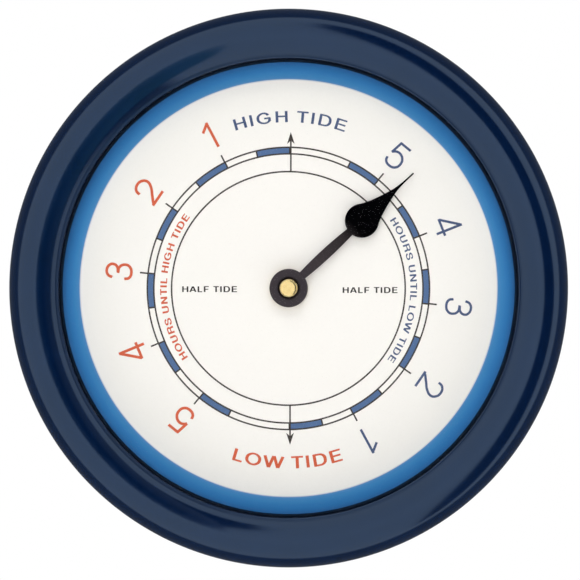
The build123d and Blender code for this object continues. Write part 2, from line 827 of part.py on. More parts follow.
# Transfer wheel: pinion, wheel and the shaft that leaves through the cover to the knob
knob_front_depth = movement_rear_depth - loose_clearance
knob_rear_depth = knob_front_depth - knob_thickness
with BuildPart() as transfer_wheel:
    toothed_disc(
        transfer_place,
        tide_layer,
        motion_thickness,
        transfer_pinion_teeth,
        motion_module,
        transfer_phase,
    )
    toothed_disc(
        transfer_place,
        cannon_layer,
        motion_thickness,
        transfer_teeth,
        motion_module,
        transfer_phase,
    )
    window_cuts(transfer_place, cannon_layer, motion_thickness, transfer_teeth, motion_module)
    shaft_front_depth = layer_depth(end_clearance)
    round_boss(
        transfer_place, shaft_front_depth, shaft_front_depth - knob_rear_depth, transfer_shaft_radius
    )
    round_boss(transfer_place, shaft_front_depth + pivot_length, pivot_length, pivot_radius)
transfer_wheel.part.label = "transfer_wheel"
export_step(transfer_wheel.part, "parts/transfer_wheel.step")

# Setting knob: fluted disc behind the cover, turned by a finger
with BuildPart() as setting_knob:
    with BuildSketch(face_at(knob_rear_depth)):
        with Locations(transfer_place):
            Circle(knob_radius)
            Circle(transfer_shaft_radius, mode=Mode.SUBTRACT)
            with PolarLocations(knob_radius, knob_flute_count):
                Circle(knob_flute_radius, mode=Mode.SUBTRACT)
    extrude(amount=knob_thickness)
setting_knob.part.label = "setting_knob"
export_step(setting_knob.part, "parts/setting_knob.step")

# Cannon pinion: grips the hour wheel's shaft, and slips when the hand is set
with BuildPart() as cannon_pinion:
    toothed_disc(
        hour_place, cannon_layer, motion_thickness, cannon_teeth, motion_module, cannon_phase
    )
    sleeve_front_depth = layer_depth(cannon_layer) + cannon_sleeve_length
    round_boss(hour_place, sleeve_front_depth, cannon_sleeve_length, cannon_sleeve_radius)
    sleeve_run = cannon_sleeve_length + motion_thickness
    cannon_hole_radius = hour_shaft_radius + running_clearance
    round_hole(hour_place, sleeve_front_depth, sleeve_run, cannon_hole_radius)
cannon_pinion.part.label = "cannon_pinion"
export_step(cannon_pinion.part, "parts/cannon_pinion.step")

# Hour wheel: moulded with its shaft
with BuildPart() as hour_wheel:
    toothed_disc(hour_place, hour_layer, train_thickness, hour_teeth, train_module, 0)
    window_cuts(hour_place, hour_layer, train_thickness, hour_teeth, train_module)
    pivoted_shaft(hour_place, hour_shaft_radius)
hour_wheel.part.label = "hour_wheel"
export_step(hour_wheel.part, "parts/hour_wheel.step")

# Third wheel: pinion, wheel and shaft in one moulding
with BuildPart() as third_wheel:
    toothed_disc(
        third_place, hour_layer, train_thickness, train_pinion_teeth, train_module, third_phase
    )
    toothed_disc(third_place, third_layer, train_thickness, third_teeth, train_module, third_phase)
    window_cuts(third_place, third_layer, train_thickness, third_teeth, train_module)
    pivoted_shaft(third_place, shaft_radius)
third_wheel.part.label = "third_wheel"
export_step(third_wheel.part, "parts/third_wheel.step")

# Fourth wheel: pinion, wheel and shaft in one moulding
with BuildPart() as fourth_wheel:
    toothed_disc(
        fourth_place, third_layer, train_thickness, train_pinion_teeth, train_module, fourth_phase
    )
    toothed_disc(
        fourth_place, fourth_layer, train_thickness, fourth_teeth, fourth_module, fourth_phase
    )
    window_cuts(fourth_place, fourth_layer, train_thickness, fourth_teeth, fourth_module)
    pivoted_shaft(fourth_place, shaft_radius)
fourth_wheel.part.label = "fourth_wheel"
export_step(fourth_wheel.part, "parts/fourth_wheel.step")

# Intermediate wheel: pinion, wheel and shaft in one moulding
with BuildPart() as intermediate_wheel:
    toothed_disc(
        intermediate_place,
        fourth_layer,
        train_thickness,
        intermediate_pinion_teeth,
        fourth_module,
        intermediate_phase,
    )
    toothed_disc(
        intermediate_place,
        intermediate_layer,
        train_thickness,
        intermediate_teeth,
        motor_module,
        intermediate_phase,
    )
    window_cuts(
        intermediate_place, intermediate_layer, train_thickness, intermediate_teeth, motor_module
    )
    pivoted_shaft(intermediate_place, shaft_radius)
intermediate_wheel.part.label = "intermediate_wheel"
export_step(intermediate_wheel.part, "parts/intermediate_wheel.step")

# Rotor: the motor's pinion and shaft
with BuildPart() as rotor:
    toothed_disc(
        rotor_place, intermediate_layer, train_thickness, rotor_teeth, motor_module, rotor_phase
    )
    pivoted_shaft(rotor_place, shaft_radius)
rotor.part.label = "rotor"
export_step(rotor.part, "parts/rotor.step")

# Rotor magnet: small ring magnet on the rotor's shaft
with BuildPart() as rotor_magnet:
    round_boss(rotor_place, layer_depth(magnet_layer), magnet_thickness, magnet_radius)
    round_hole(rotor_place, layer_depth(magnet_layer), magnet_thickness, shaft_radius)
rotor_magnet.part.label = "rotor_magnet"
export_step(rotor_magnet.part, "parts/rotor_magnet.step")

# Stator: soft iron strip with an eye round the magnet and two legs up to the coil
with BuildPart() as stator:
    with BuildSketch(face_at(layer_depth(stator_layer))):
        leg_height = coil_y + stator_leg_width / 2 - rotor_place[1]
        with Locations(rotor_place):
            Rectangle(2 * stator_half_length, stator_strip_width)
            Circle(stator_eye_radius)
        with Locations(
            (rotor_place[0] - leg_reach, rotor_place[1] + leg_height / 2),
            (rotor_place[0] + leg_reach, rotor_place[1] + leg_height / 2),
        ):
            Rectangle(stator_leg_width, leg_height)
        with Locations(rotor_place):
            Circle(magnet_radius + stator_gap, mode=Mode.SUBTRACT)
        with Locations(*stator_screw_places):
            Circle(stator_screw_radius, mode=Mode.SUBTRACT)
    extrude(amount=-stator_thickness)
stator.part.label = "stator"
export_step(stator.part, "parts/stator.step")

# Coil core: iron bar that closes the stator's legs through the coil
with BuildPart() as coil_core:
    with BuildSketch(face_at(layer_depth(core_front_layer))):
        with Locations((rotor_place[0], coil_y)):
            Rectangle(2 * leg_reach, coil_core_width)
        with Locations(*stator_screw_places):
            Rectangle(stator_leg_width, stator_leg_width)
            Circle(stator_screw_radius, mode=Mode.SUBTRACT)
    extrude(amount=-coil_core_thickness)
coil_core.part.label = "coil_core"
export_step(coil_core.part, "parts/coil_core.step")


def coil_face(reach):
    """Plane across the coil, this far along it from its middle, facing +X."""
    return Plane(
        origin=(rotor_place[0] + reach, -coil_depth, coil_y - hang_height),
        x_dir=(0, -1, 0),
        z_dir=(1, 0, 0),
    )


# Coil bobbin: thin barrel and two flanges on the core
with BuildPart() as coil_bobbin:
    with BuildSketch(coil_face(-bobbin_length / 2)):
        Circle(bobbin_flange_radius)
    extrude(amount=bobbin_flange_thickness)
    with BuildSketch(coil_face(bobbin_length / 2)):
        Circle(bobbin_flange_radius)
    extrude(amount=-bobbin_flange_thickness)
    with BuildSketch(coil_face(-bobbin_length / 2)):
        Circle(bobbin_barrel_radius)
    extrude(amount=bobbin_length)
    with BuildSketch(coil_face(-bobbin_length / 2)):
        Rectangle(coil_core_thickness, coil_core_width)
    extrude(amount=bobbin_length, mode=Mode.SUBTRACT)
coil_bobbin.part.label = "coil_bobbin"
export_step(coil_bobbin.part, "parts/coil_bobbin.step")

# Coil winding: fine copper wire, as one sleeve between the flanges
winding_length = bobbin_length - 2 * bobbin_flange_thickness
with BuildPart() as coil_winding:
    with BuildSketch(coil_face(-winding_length / 2)):
        Circle(bobbin_flange_radius - winding_margin)
        Circle(bobbin_barrel_radius, mode=Mode.SUBTRACT)
    extrude(amount=winding_length)
coil_winding.part.label = "coil_winding"
export_step(coil_winding.part, "parts/coil_winding.step")

# Stator screws: hold the core and the stator on the cover's posts
with BuildPart() as stator_screws:
    for screw_place in stator_screw_places:
        head_front_depth = layer_depth(core_front_layer) + stator_screw_head_height
        round_boss(
            screw_place, head_front_depth, stator_screw_head_height, stator_screw_head_radius
        )
        round_boss(
            screw_place, layer_depth(core_front_layer), stator_screw_length, stator_screw_radius
        )
stator_screws.part.label = "stator_screws"
export_step(stator_screws.part, "parts/stator_screws.step")

# Circuit board: sits on two pins of the cover
with BuildPart() as circuit_board:
    with BuildSketch(face_at(board_rear_depth)):
        with Locations(board_place):
            Rectangle(board_length, board_width)
        with Locations(*board_pin_places):
            Circle(board_pin_radius, mode=Mode.SUBTRACT)
    extrude(amount=board_thickness)
circuit_board.part.label = "circuit_board"
export_step(circuit_board.part, "parts/circuit_board.step")

# Quartz crystal: small can lying on the board beside the left pin
board_front_depth = board_rear_depth + board_thickness
crystal_left_x = board_pin_places[0][0] + board_pin_radius + board_pin_radius
crystal_plane = Plane(
    origin=(crystal_left_x, -board_front_depth - crystal_radius, board_place[1] - hang_height),
    x_dir=(0, -1, 0),
    z_dir=(1, 0, 0),
)
with BuildPart() as quartz_crystal:
    with BuildSketch(crystal_plane):
        Circle(crystal_radius)
    extrude(amount=crystal_length)
quartz_crystal.part.label = "quartz_crystal"
export_step(quartz_crystal.part, "parts/quartz_crystal.step")

# Chip: drop of black resin over the circuit, beside the right pin
chip_x = board_pin_places[1][0] - board_pin_radius - loose_clearance - chip_radius
with BuildPart() as chip:
    with BuildSketch(face_at(board_front_depth)):
        with Locations((chip_x, board_place[1])):
            Circle(chip_radius)
    extrude(amount=chip_height)
    fillet(chip.edges().sort_by(Axis.Y)[0], radius=chip_height * 2 / 3)
chip.part.label = "chip"
export_step(chip.part, "parts/chip.step")

# Cell: its ends stand a hair off the two contacts
battery_right_x = cavity_half_width - contact_thickness - contact_gap
battery_left_x = battery_right_x - battery_length
battery_plane = Plane(
    origin=(battery_left_x, -battery_depth, battery_y - hang_height),
    x_dir=(0, -1, 0),
    z_dir=(1, 0, 0),
)
with BuildPart() as battery:
    with BuildSketch(battery_plane):
        Circle(battery_radius)
    extrude(amount=battery_length - battery_nub_length)
    fillet(battery.edges().filter_by(GeomType.CIRCLE), radius=battery_edge_radius)
    with BuildSketch(battery_plane):
        Circle(battery_nub_radius)
    extrude(amount=battery_length)
battery.part.label = "battery"
export_step(battery.part, "parts/battery.step")

# Positive contact: plate behind the cell's nub, and a strap round to the board
plate_middle_y = battery_y
plate_rear_depth = battery_depth - contact_plate_width / 2
plate_x = cavity_half_width - contact_thickness / 2
strap_rear_depth = strap_front_depth - strap_width
shelf_y = divider_top_y + contact_thickness / 2
riser_x = board_left_x + contact_thickness
board_bottom_y = board_place[1] - board_width / 2
with BuildPart() as positive_contact:
    with BuildSketch(face_at(plate_rear_depth)):
        with Locations((plate_x, plate_middle_y)):
            Rectangle(contact_thickness, contact_plate_height)
    extrude(amount=contact_plate_width)
    with BuildSketch(face_at(strap_rear_depth)):
        with BuildLine():
            Polyline(
                (cavity_half_width, plate_middle_y),
                (cavity_half_width, shelf_y + contact_thickness / 2),
                (riser_x + contact_thickness, shelf_y + contact_thickness / 2),
                (riser_x + contact_thickness, board_bottom_y),
                (riser_x, board_bottom_y),
                (riser_x, divider_top_y),
                (cavity_half_width - contact_thickness, divider_top_y),
                (cavity_half_width - contact_thickness, plate_middle_y),
                close=True,
            )
        make_face()
    extrude(amount=strap_width)
positive_contact.part.label = "positive_contact"
export_step(positive_contact.part, "parts/positive_contact.step")

# Negative contact: plate with a bowed leaf against the cell, and a strap up to the board
leaf_rise = battery_left_x - contact_gap - (-cavity_half_width + contact_thickness)
leaf_foot = contact_plate_height / 2
foot_y = board_bottom_y + contact_thickness
with BuildPart() as negative_contact:
    with BuildSketch(face_at(plate_rear_depth)):
        with Locations((-plate_x, plate_middle_y)):
            Rectangle(contact_thickness, contact_plate_height)
    extrude(amount=contact_plate_width)
    with BuildSketch(face_at(battery_depth - contact_plate_width / 4)):
        with BuildLine():
            leaf_x = -cavity_half_width + contact_thickness
            leaf_low = (leaf_x, plate_middle_y - leaf_foot)
            leaf_high = (leaf_x, plate_middle_y + leaf_foot)
            inner_low = (leaf_x, plate_middle_y - leaf_foot + contact_thickness)
            inner_high = (leaf_x, plate_middle_y + leaf_foot - contact_thickness)
            ThreePointArc(leaf_low, (leaf_x + leaf_rise, plate_middle_y), leaf_high)
            Line(leaf_high, inner_high)
            ThreePointArc(
                inner_high, (leaf_x + leaf_rise - contact_thickness, plate_middle_y), inner_low
            )
            Line(inner_low, leaf_low)
        make_face()
    extrude(amount=contact_plate_width / 2)
    with BuildSketch(face_at(strap_rear_depth)):
        with BuildLine():
            Polyline(
                (-cavity_half_width, plate_middle_y),
                (-cavity_half_width, foot_y + contact_thickness),
                (board_left_x, foot_y + contact_thickness),
                (board_left_x, foot_y),
                (-cavity_half_width + contact_thickness, foot_y),
                (-cavity_half_width + contact_thickness, plate_middle_y),
                close=True,
            )
        make_face()
    extrude(amount=strap_width)
negative_contact.part.label = "negative_contact"
export_step(negative_contact.part, "parts/negative_contact.step")
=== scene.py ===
from math import cos, pi, radians, sin

import bmesh
import bpy
from mathutils import Matrix, Vector


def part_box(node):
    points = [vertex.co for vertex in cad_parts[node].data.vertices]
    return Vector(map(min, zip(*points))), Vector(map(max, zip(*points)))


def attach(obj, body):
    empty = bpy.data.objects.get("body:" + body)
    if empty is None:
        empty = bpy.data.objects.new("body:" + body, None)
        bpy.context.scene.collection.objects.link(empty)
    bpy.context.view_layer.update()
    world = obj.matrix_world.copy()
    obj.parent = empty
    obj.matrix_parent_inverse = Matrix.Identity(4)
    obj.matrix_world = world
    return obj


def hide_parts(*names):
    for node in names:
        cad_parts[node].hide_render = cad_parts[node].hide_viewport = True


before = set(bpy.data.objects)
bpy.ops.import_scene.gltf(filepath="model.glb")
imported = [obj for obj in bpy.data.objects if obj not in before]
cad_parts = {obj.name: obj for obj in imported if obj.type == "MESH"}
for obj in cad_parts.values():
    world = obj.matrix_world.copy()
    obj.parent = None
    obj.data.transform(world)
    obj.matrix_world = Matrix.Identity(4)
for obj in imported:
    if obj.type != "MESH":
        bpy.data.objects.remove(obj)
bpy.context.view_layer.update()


# Case ring: a round case, injection-moulded in glossy navy ABS: a thin shell rolled over to the
# front, with a fine groove and bead round the lens, a skirt behind it and six screw bosses.

mm = 0.001
weld_distance = 0.001 * mm
ring_steps = 288
dial_low, dial_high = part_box("dial")
clock_centre = Vector(((dial_low.x + dial_high.x) / 2, 0, (dial_low.z + dial_high.z) / 2))


def linear(code):
    """An sRGB hex colour as the linear colour that shaders take."""
    channels = [int(code[i : i + 2], 16) / 255 for i in (1, 3, 5)]
    return [c / 12.92 if c <= 0.04045 else ((c + 0.055) / 1.055) ** 2.4 for c in channels] + [1]


def add_node(tree, kind, links=None, **settings):
    """Adds a shader node with its settings, and fills or links its inputs."""
    node = tree.nodes.new(kind)
    for name, value in settings.items():
        setattr(node, name, value)
    for socket, value in (links or {}).items():
        if isinstance(value, bpy.types.NodeSocket):
            tree.links.new(value, node.inputs[socket])
        else:
            node.inputs[socket].default_value = value
    return node


def blank_material(name):
    """A material with an empty node tree."""
    material = bpy.data.materials.new(name)
    material.use_nodes = True
    material.node_tree.nodes.clear()
    return material, material.node_tree


def draw_outline(start, moves, centre=clock_centre):
    """Draws an outline of (radius, depth) in mm: a move is a line to a point, or an arc of
    some degrees about one."""
    bm = bmesh.new()

    def place(radius, depth):
        return Vector((centre.x + radius * mm, -depth * mm, centre.z))

    tip = bm.verts.new(place(*start))
    for radius, depth, *arc in moves:
        if arc:
            made = bmesh.ops.spin(
                bm, geom=[tip], cent=place(radius, depth), axis=(0, 0, 1),
                angle=radians(-arc[0]), steps=arc[1],
            )
            tip = [v for v in made["geom_last"] if isinstance(v, bmesh.types.BMVert)][0]
        else:
            tip = bmesh.ops.extrude_vert_indiv(bm, verts=[tip])["verts"][0]
            tip.co = place(radius, depth)
    return bm


def turn_outline(bm, steps, centre=clock_centre):
    """Spins the outline all the way round an axis square to the wall."""
    bmesh.ops.remove_doubles(bm, verts=bm.verts, dist=weld_distance)
    bmesh.ops.spin(
        bm, geom=bm.verts[:] + bm.edges[:], cent=centre, axis=(0, 1, 0), angle=2 * pi,
        steps=steps, use_merge=True,
    )
    bmesh.ops.remove_doubles(bm, verts=bm.verts, dist=weld_distance)
    bmesh.ops.recalc_face_normals(bm, faces=bm.faces)
    return bm


def finish_piece(bm, name, material, body, sharp_from=35):
    """Makes the mesh an object with smooth faces and crisp edges, riding on a body."""
    mesh = bpy.data.meshes.new(name)
    bm.to_mesh(mesh)
    bm.free()
    mesh.shade_smooth()
    mesh.set_sharp_from_angle(angle=radians(sharp_from))
    mesh.materials.append(material)
    piece = bpy.data.objects.new(name, mesh)
    bpy.context.scene.collection.objects.link(piece)
    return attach(piece, body)


# Glossy moulded ABS: deep navy that looks nearly black where nothing bright is mirrored,
# under a cool veil of reflection, with the slightest waviness of a polished mould.
navy_abs, tree = blank_material("navy_moulded_abs")
where = add_node(tree, "ShaderNodeTexCoord").outputs["Object"]
flow = add_node(tree, "ShaderNodeTexNoise", {"Vector": where, "Scale": 1 / (14 * mm), "Detail": 2})
pigment = add_node(tree, "ShaderNodeValToRGB", {"Fac": flow.outputs["Fac"]})
pigment.color_ramp.elements[0].position = 0.3
pigment.color_ramp.elements[0].color = linear("#011433")
pigment.color_ramp.elements[1].position = 0.7
pigment.color_ramp.elements[1].color = linear("#021738")
mould_wave = add_node(
    tree, "ShaderNodeTexNoise", {"Vector": where, "Scale": 1 / (6 * mm), "Detail": 1}
)
polish = add_node(
    tree, "ShaderNodeBump",
    {"Height": mould_wave.outputs["Fac"], "Strength": 0.04, "Distance": 0.02 * mm},
)
scuffs = add_node(
    tree, "ShaderNodeTexNoise", {"Vector": where, "Scale": 1 / (1.5 * mm), "Detail": 4}
)
gloss = add_node(
    tree, "ShaderNodeMapRange",
    {
        "Value": scuffs.outputs["Fac"], "From Min": 0.35, "From Max": 0.75, "To Min": 0.13,
        "To Max": 0.18,
    },
)
plastic = add_node(
    tree, "ShaderNodeBsdfPrincipled",
    {
        "Base Color": pigment.outputs["Color"], "Roughness": gloss.outputs["Result"],
        "Normal": polish.outputs["Normal"], "IOR": 1.7, "Specular Tint": linear("#bcddff"),
    },
)
add_node(tree, "ShaderNodeOutputMaterial", {"Surface": plastic.outputs["BSDF"]})

# The same ABS where the mould is only spark-eroded, on the wall of the opening: dull, with
# a sandy grain about 0.4 mm across and nothing mirrored in it.
dull_abs, tree = blank_material("spark_eroded_navy_abs")
where = add_node(tree, "ShaderNodeTexCoord").outputs["Object"]
sand = add_node(tree, "ShaderNodeTexNoise", {"Vector": where, "Scale": 1 / (0.4 * mm), "Detail": 3})
sand_tone = add_node(tree, "ShaderNodeValToRGB", {"Fac": sand.outputs["Fac"]})
sand_tone.color_ramp.elements[0].color = linear("#040a16")
sand_tone.color_ramp.elements[1].color = linear("#08101f")
sandy = add_node(
    tree, "ShaderNodeBsdfPrincipled",
    {"Base Color": sand_tone.outputs["Color"], "Roughness": 0.8, "Specular IOR Level": 0.02},
)
add_node(tree, "ShaderNodeOutputMaterial", {"Surface": sandy.outputs["BSDF"]})

ring_outline = draw_outline(
    (101.3, 0),
    [
        (101.3, 0.3, 90, 4),
        (101.6, 28.1),
        (91.7, 28.1, 128, 46),
        (84.4, 34.95),
        (84.4, 34.85),
        (84.25, 34.85, -90, 3),
        (83.95, 34.7),
        (83.55, 34.55, 180, 14),
        (82.95, 34.45),
        (82.95, 34.3, 90, 4),
        (82.8, 32.5),
        (84.6, 32.5),
        (84.6, 20.5),
        (86.2, 20.5),
        (86.2, 33.49),
        (91.7, 35.8),
        (97.14, 33.54),
        (99.4, 28.1),
        (99.4, 0.3),
        (99.1, 0),
        (101.3, 0),
    ],
)
case_ring = turn_outline(ring_outline, ring_steps)
opening_radius, opening_front = 83.1 * mm, -34.7 * mm
for face in case_ring.faces:
    middle = face.calc_center_median()
    from_axis = (middle - clock_centre) * Vector((1, 0, 1))
    if from_axis.length < opening_radius and middle.y > opening_front:
        face.material_index = 1
boss_circle, boss_count = 92.8 * mm, 6
boss_bore, boss_radius, boss_rear, boss_front, boss_steps = 1.4, 3.2, 20.5, 35.0, 32
for number in range(boss_count):
    bearing = radians(360 / boss_count * number)
    boss_place = clock_centre + Vector((boss_circle * cos(bearing), 0, boss_circle * sin(bearing)))
    boss_outline = draw_outline(
        (boss_bore, boss_rear),
        [
            (boss_radius, boss_rear), (boss_radius, boss_front), (boss_bore, boss_front),
            (boss_bore, boss_rear),
        ],
        boss_place,
    )
    boss = bpy.data.meshes.new("screw_boss")
    turn_outline(boss_outline, boss_steps, boss_place).to_mesh(boss)
    case_ring.from_mesh(boss)
case_ring = finish_piece(case_ring, "moulded_case", navy_abs, "case")
case_ring.data.materials.append(dull_abs)
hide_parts("case_ring")


# Lens: a flat disc of clear acrylic, 2 mm thick, that sits against the ring's inner ledge and
# is held there by the spacer ring behind it.

# Clear acrylic: see-through straight on, with a weak sheen that shows from the side.
clear_acrylic, tree = blank_material("clear_acrylic")
where = add_node(tree, "ShaderNodeTexCoord").outputs["Object"]
ripple = add_node(
    tree, "ShaderNodeTexNoise", {"Vector": where, "Scale": 1 / (30 * mm), "Detail": 1}
)
haze = add_node(
    tree, "ShaderNodeMapRange",
    {
        "Value": ripple.outputs["Fac"], "From Min": 0.3, "From Max": 0.7, "To Min": 0.02,
        "To Max": 0.05,
    },
)
acrylic = add_node(
    tree, "ShaderNodeBsdfPrincipled",
    {
        "Base Color": linear("#fbfdfe"), "Roughness": haze.outputs["Result"], "IOR": 1.49,
        "Transmission Weight": 1.0, "Alpha": 0.02,
    },
)
add_node(tree, "ShaderNodeOutputMaterial", {"Surface": acrylic.outputs["BSDF"]})


def paint(material, *nodes):
    """Gives CAD nodes a finished material in place of their plain one."""
    for node in nodes:
        for material_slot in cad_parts[node].material_slots:
            material_slot.material = material


paint(clear_acrylic, "lens_glass")


# Spacer ring: a hoop of black polystyrene between dial and lens. Only its inner wall shows, as
# the thin black band round the dial.

# Matt black polystyrene: fine spark-eroded texture, dark with a faint blue cast.
black_styrene, tree = blank_material("black_matt_polystyrene")
where = add_node(tree, "ShaderNodeTexCoord").outputs["Object"]
texture = add_node(
    tree, "ShaderNodeTexNoise", {"Vector": where, "Scale": 1 / (0.6 * mm), "Detail": 3}
)
tone = add_node(tree, "ShaderNodeValToRGB", {"Fac": texture.outputs["Fac"]})
tone.color_ramp.elements[0].color = linear("#05080f")
tone.color_ramp.elements[1].color = linear("#0b1120")
grain = add_node(
    tree, "ShaderNodeBump",
    {"Height": texture.outputs["Fac"], "Strength": 0.3, "Distance": 0.03 * mm},
)
styrene = add_node(
    tree, "ShaderNodeBsdfPrincipled",
    {
        "Base Color": tone.outputs["Color"], "Roughness": 0.6, "Normal": grain.outputs["Normal"],
        "IOR": 1.59, "Specular IOR Level": 0.02,
    },
)
add_node(tree, "ShaderNodeOutputMaterial", {"Surface": styrene.outputs["BSDF"]})

spacer_outline = draw_outline(
    (82.8, 21.0), [(84.4, 21.0), (84.4, 30.5), (83.0, 30.5), (82.8, 30.3), (82.8, 21.0)]
)
spacer = turn_outline(spacer_outline, ring_steps)
spacer = finish_piece(spacer, "spacer_hoop", black_styrene, "case")
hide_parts("spacer_ring")


# Dial: card, screen-printed: warm white in the middle, greying a little towards the rim as painted
# shade of the ring, and a blue border that deepens towards its edge, partly in the print and partly
# as painted shade of the ring. The scale, numbers and words lie on it as thin films of ink.


def reach_from_axis(tree, where):
    """How far a point of a material lies from the clock's axis."""
    centred = add_node(
        tree, "ShaderNodeMapping", {"Vector": where, "Location": (0, 0, -clock_centre.z)}
    )
    flat = add_node(
        tree, "ShaderNodeVectorMath",
        {0: centred.outputs["Vector"], 1: (1, 0, 1)}, operation="MULTIPLY",
    )
    reach = add_node(
        tree, "ShaderNodeVectorMath", {0: flat.outputs["Vector"]}, operation="LENGTH"
    )
    return reach.outputs["Value"]


# Coated card: warm white with fine fibre mottling, and the border's blue printed on it. Towards the
# rim both are darkened by painted shade of the ring.
dial_face, tree = blank_material("printed_card_dial")
where = add_node(tree, "ShaderNodeTexCoord").outputs["Object"]
card_edge = 85
share = add_node(
    tree, "ShaderNodeMath", {0: reach_from_axis(tree, where), 1: card_edge * mm}, operation="DIVIDE"
)
card = add_node(tree, "ShaderNodeValToRGB", {"Fac": share.outputs["Value"]})
# Tones by radius in mm, with painted shade of the ring greying the white and deepening the blue
# outwards.
card_tones_with_painted_shade = (
    (0.0, "#fdfaf5"), (52.0, "#fcf9f4"), (69.5, "#f8f6f1"), (76.3, "#f7f6f3"), (76.6, "#4d8cc5"),
    (78.3, "#3988c4"), (79.8, "#317ec0"), (81.0, "#2b7bbd"), (82.4, "#2e71b4"),
)
for radius, code in card_tones_with_painted_shade[2:]:
    card.color_ramp.elements.new(radius / card_edge)
for element, (radius, code) in zip(card.color_ramp.elements, card_tones_with_painted_shade):
    element.position = radius / card_edge
    element.color = linear(code)
fibres = add_node(
    tree, "ShaderNodeTexNoise", {"Vector": where, "Scale": 1 / (0.8 * mm), "Detail": 5}
)
mottle = add_node(
    tree, "ShaderNodeMapRange",
    {
        "Value": fibres.outputs["Fac"], "From Min": 0.3, "From Max": 0.7, "To Min": 0.985,
        "To Max": 1.0,
    },
)
printed = add_node(
    tree, "ShaderNodeMix", {0: 1.0, 6: card.outputs["Color"], 7: mottle.outputs["Result"]},
    data_type="RGBA", blend_type="MULTIPLY",
)
tooth = add_node(
    tree, "ShaderNodeBump",
    {"Height": fibres.outputs["Fac"], "Strength": 0.15, "Distance": 0.01 * mm},
)
card_shader = add_node(
    tree, "ShaderNodeBsdfPrincipled",
    {
        "Base Color": printed.outputs[2], "Roughness": 0.55, "Normal": tooth.outputs["Normal"],
        "Specular IOR Level": 0.25,
    },
)
add_node(tree, "ShaderNodeOutputMaterial", {"Surface": card_shader.outputs["BSDF"]})
paint(dial_face, "dial")


def ink_material(name, code, deep_code):
    """Screen-printed ink: matt, a little uneven where the mesh laid it down."""
    ink, tree = blank_material(name)
    where = add_node(tree, "ShaderNodeTexCoord").outputs["Object"]
    patches = add_node(
        tree, "ShaderNodeTexNoise", {"Vector": where, "Scale": 1 / (0.5 * mm), "Detail": 3}
    )
    tone = add_node(tree, "ShaderNodeValToRGB", {"Fac": patches.outputs["Fac"]})
    tone.color_ramp.elements[0].position = 0.3
    tone.color_ramp.elements[0].color = linear(code)
    tone.color_ramp.elements[1].position = 0.7
    tone.color_ramp.elements[1].color = linear(deep_code)
    film = add_node(
        tree, "ShaderNodeBsdfPrincipled",
        {"Base Color": tone.outputs["Color"], "Roughness": 0.6, "Specular IOR Level": 0.2},
    )
    add_node(tree, "ShaderNodeOutputMaterial", {"Surface": film.outputs["BSDF"]})
    return ink


# Inks as printed: charcoal for lines and small words, slate blue for blocks, words and numbers,
# and red for words and numbers.
line_ink = ink_material("charcoal_line_ink", "#433e3a", "#3d3835")
dark_ink = ink_material("charcoal_word_ink", "#2f2b28", "#292624")
block_ink = ink_material("slate_blue_block_ink", "#57739d", "#516c97")
blue_ink = ink_material("slate_blue_word_ink", "#4c5c80", "#47577a")
red_ink = ink_material("warm_red_word_ink", "#d86545", "#d15f3f")

dial_front = 21.0
ink_depth = 0.03
line_width = 0.57
circle_steps = 240
print_centre = clock_centre + Vector((-0.1, 0, -0.12)) * mm


def ring_band(bm, inner, outer, lift, start=0.0, sweep=360.0):
    """Adds a thin band of ink between two radii, from a clockwise angle on."""
    rear = dial_front + lift
    front = rear + ink_depth
    band = draw_outline(
        (inner, rear), [(outer, rear), (outer, front), (inner, front), (inner, rear)], print_centre
    )
    if sweep == 360:
        turn_outline(band, circle_steps, print_centre)
    else:
        bmesh.ops.remove_doubles(band, verts=band.verts, dist=weld_distance)
        bmesh.ops.rotate(
            band, verts=band.verts, cent=print_centre,
            matrix=Matrix.Rotation(radians(start - 90), 3, "Y"),
        )
        bmesh.ops.spin(
            band, geom=band.verts[:] + band.edges[:], cent=print_centre, axis=(0, 1, 0),
            angle=radians(sweep), steps=max(1, round(sweep)),
        )
        bmesh.ops.holes_fill(band, edges=band.edges, sides=4)
        bmesh.ops.recalc_face_normals(band, faces=band.faces)
    mesh = bpy.data.meshes.new("band")
    band.to_mesh(mesh)
    bm.from_mesh(mesh)


def ink_bar(bm, angle, inner, outer, lift, offset=0.0):
    """Adds a straight line of ink along a radius, at a clockwise angle."""
    size = Matrix.Diagonal((line_width * mm, ink_depth * mm, (outer - inner) * mm, 1))
    middle = Matrix.Translation(
        (offset * mm, -(dial_front + lift + ink_depth / 2) * mm, (inner + outer) / 2 * mm)
    )
    turn = Matrix.Rotation(radians(angle), 4, "Y")
    place = Matrix.Translation(print_centre) @ turn @ middle
    bmesh.ops.create_cube(bm, size=1, matrix=place @ size)


blocks = bmesh.new()
scale = bmesh.new()

# Radii of the scale's circles, and of the outer ends of its ticks and arrow shafts.
inner_circle, block_inner, block_outer, tick_end, shaft_end = 42.8, 49.3, 51.7, 54.7, 55.0
# Each kind of film is lifted off the dial by its own amount, so that no two share a plane.
block_lift, circle_lift, edge_lift, tick_lift, shaft_lift = 0, 0.02, 0.03, 0.035, 0.04
block_spans = (
    (-13.2, 0.6), (-41.1, -26.7), (-69.2, -55.3), (-98.0, -83.8), (-126.7, -113.0),
    (-154.8, -140.9), (26.1, 39.7), (54.0, 68.2), (82.2, 96.4), (110.7, 124.8),
    (138.4, 152.7), (165.9, 179.6),
)
for start, end in block_spans:
    ring_band(blocks, block_inner, block_outer, block_lift, start, end - start)
    for block_edge in (start, end):
        ink_bar(scale, block_edge, block_inner, block_outer, edge_lift)
for radius in (inner_circle, block_inner, block_outer):
    ring_band(scale, radius - line_width / 2, radius + line_width / 2, circle_lift)
for angle in (-26.8, -55.3, -83.9, -112.9, -140.8, 39.6, 68.2, 96.2, 124.8, 152.6):
    ink_bar(scale, angle, block_outer, tick_end, tick_lift)
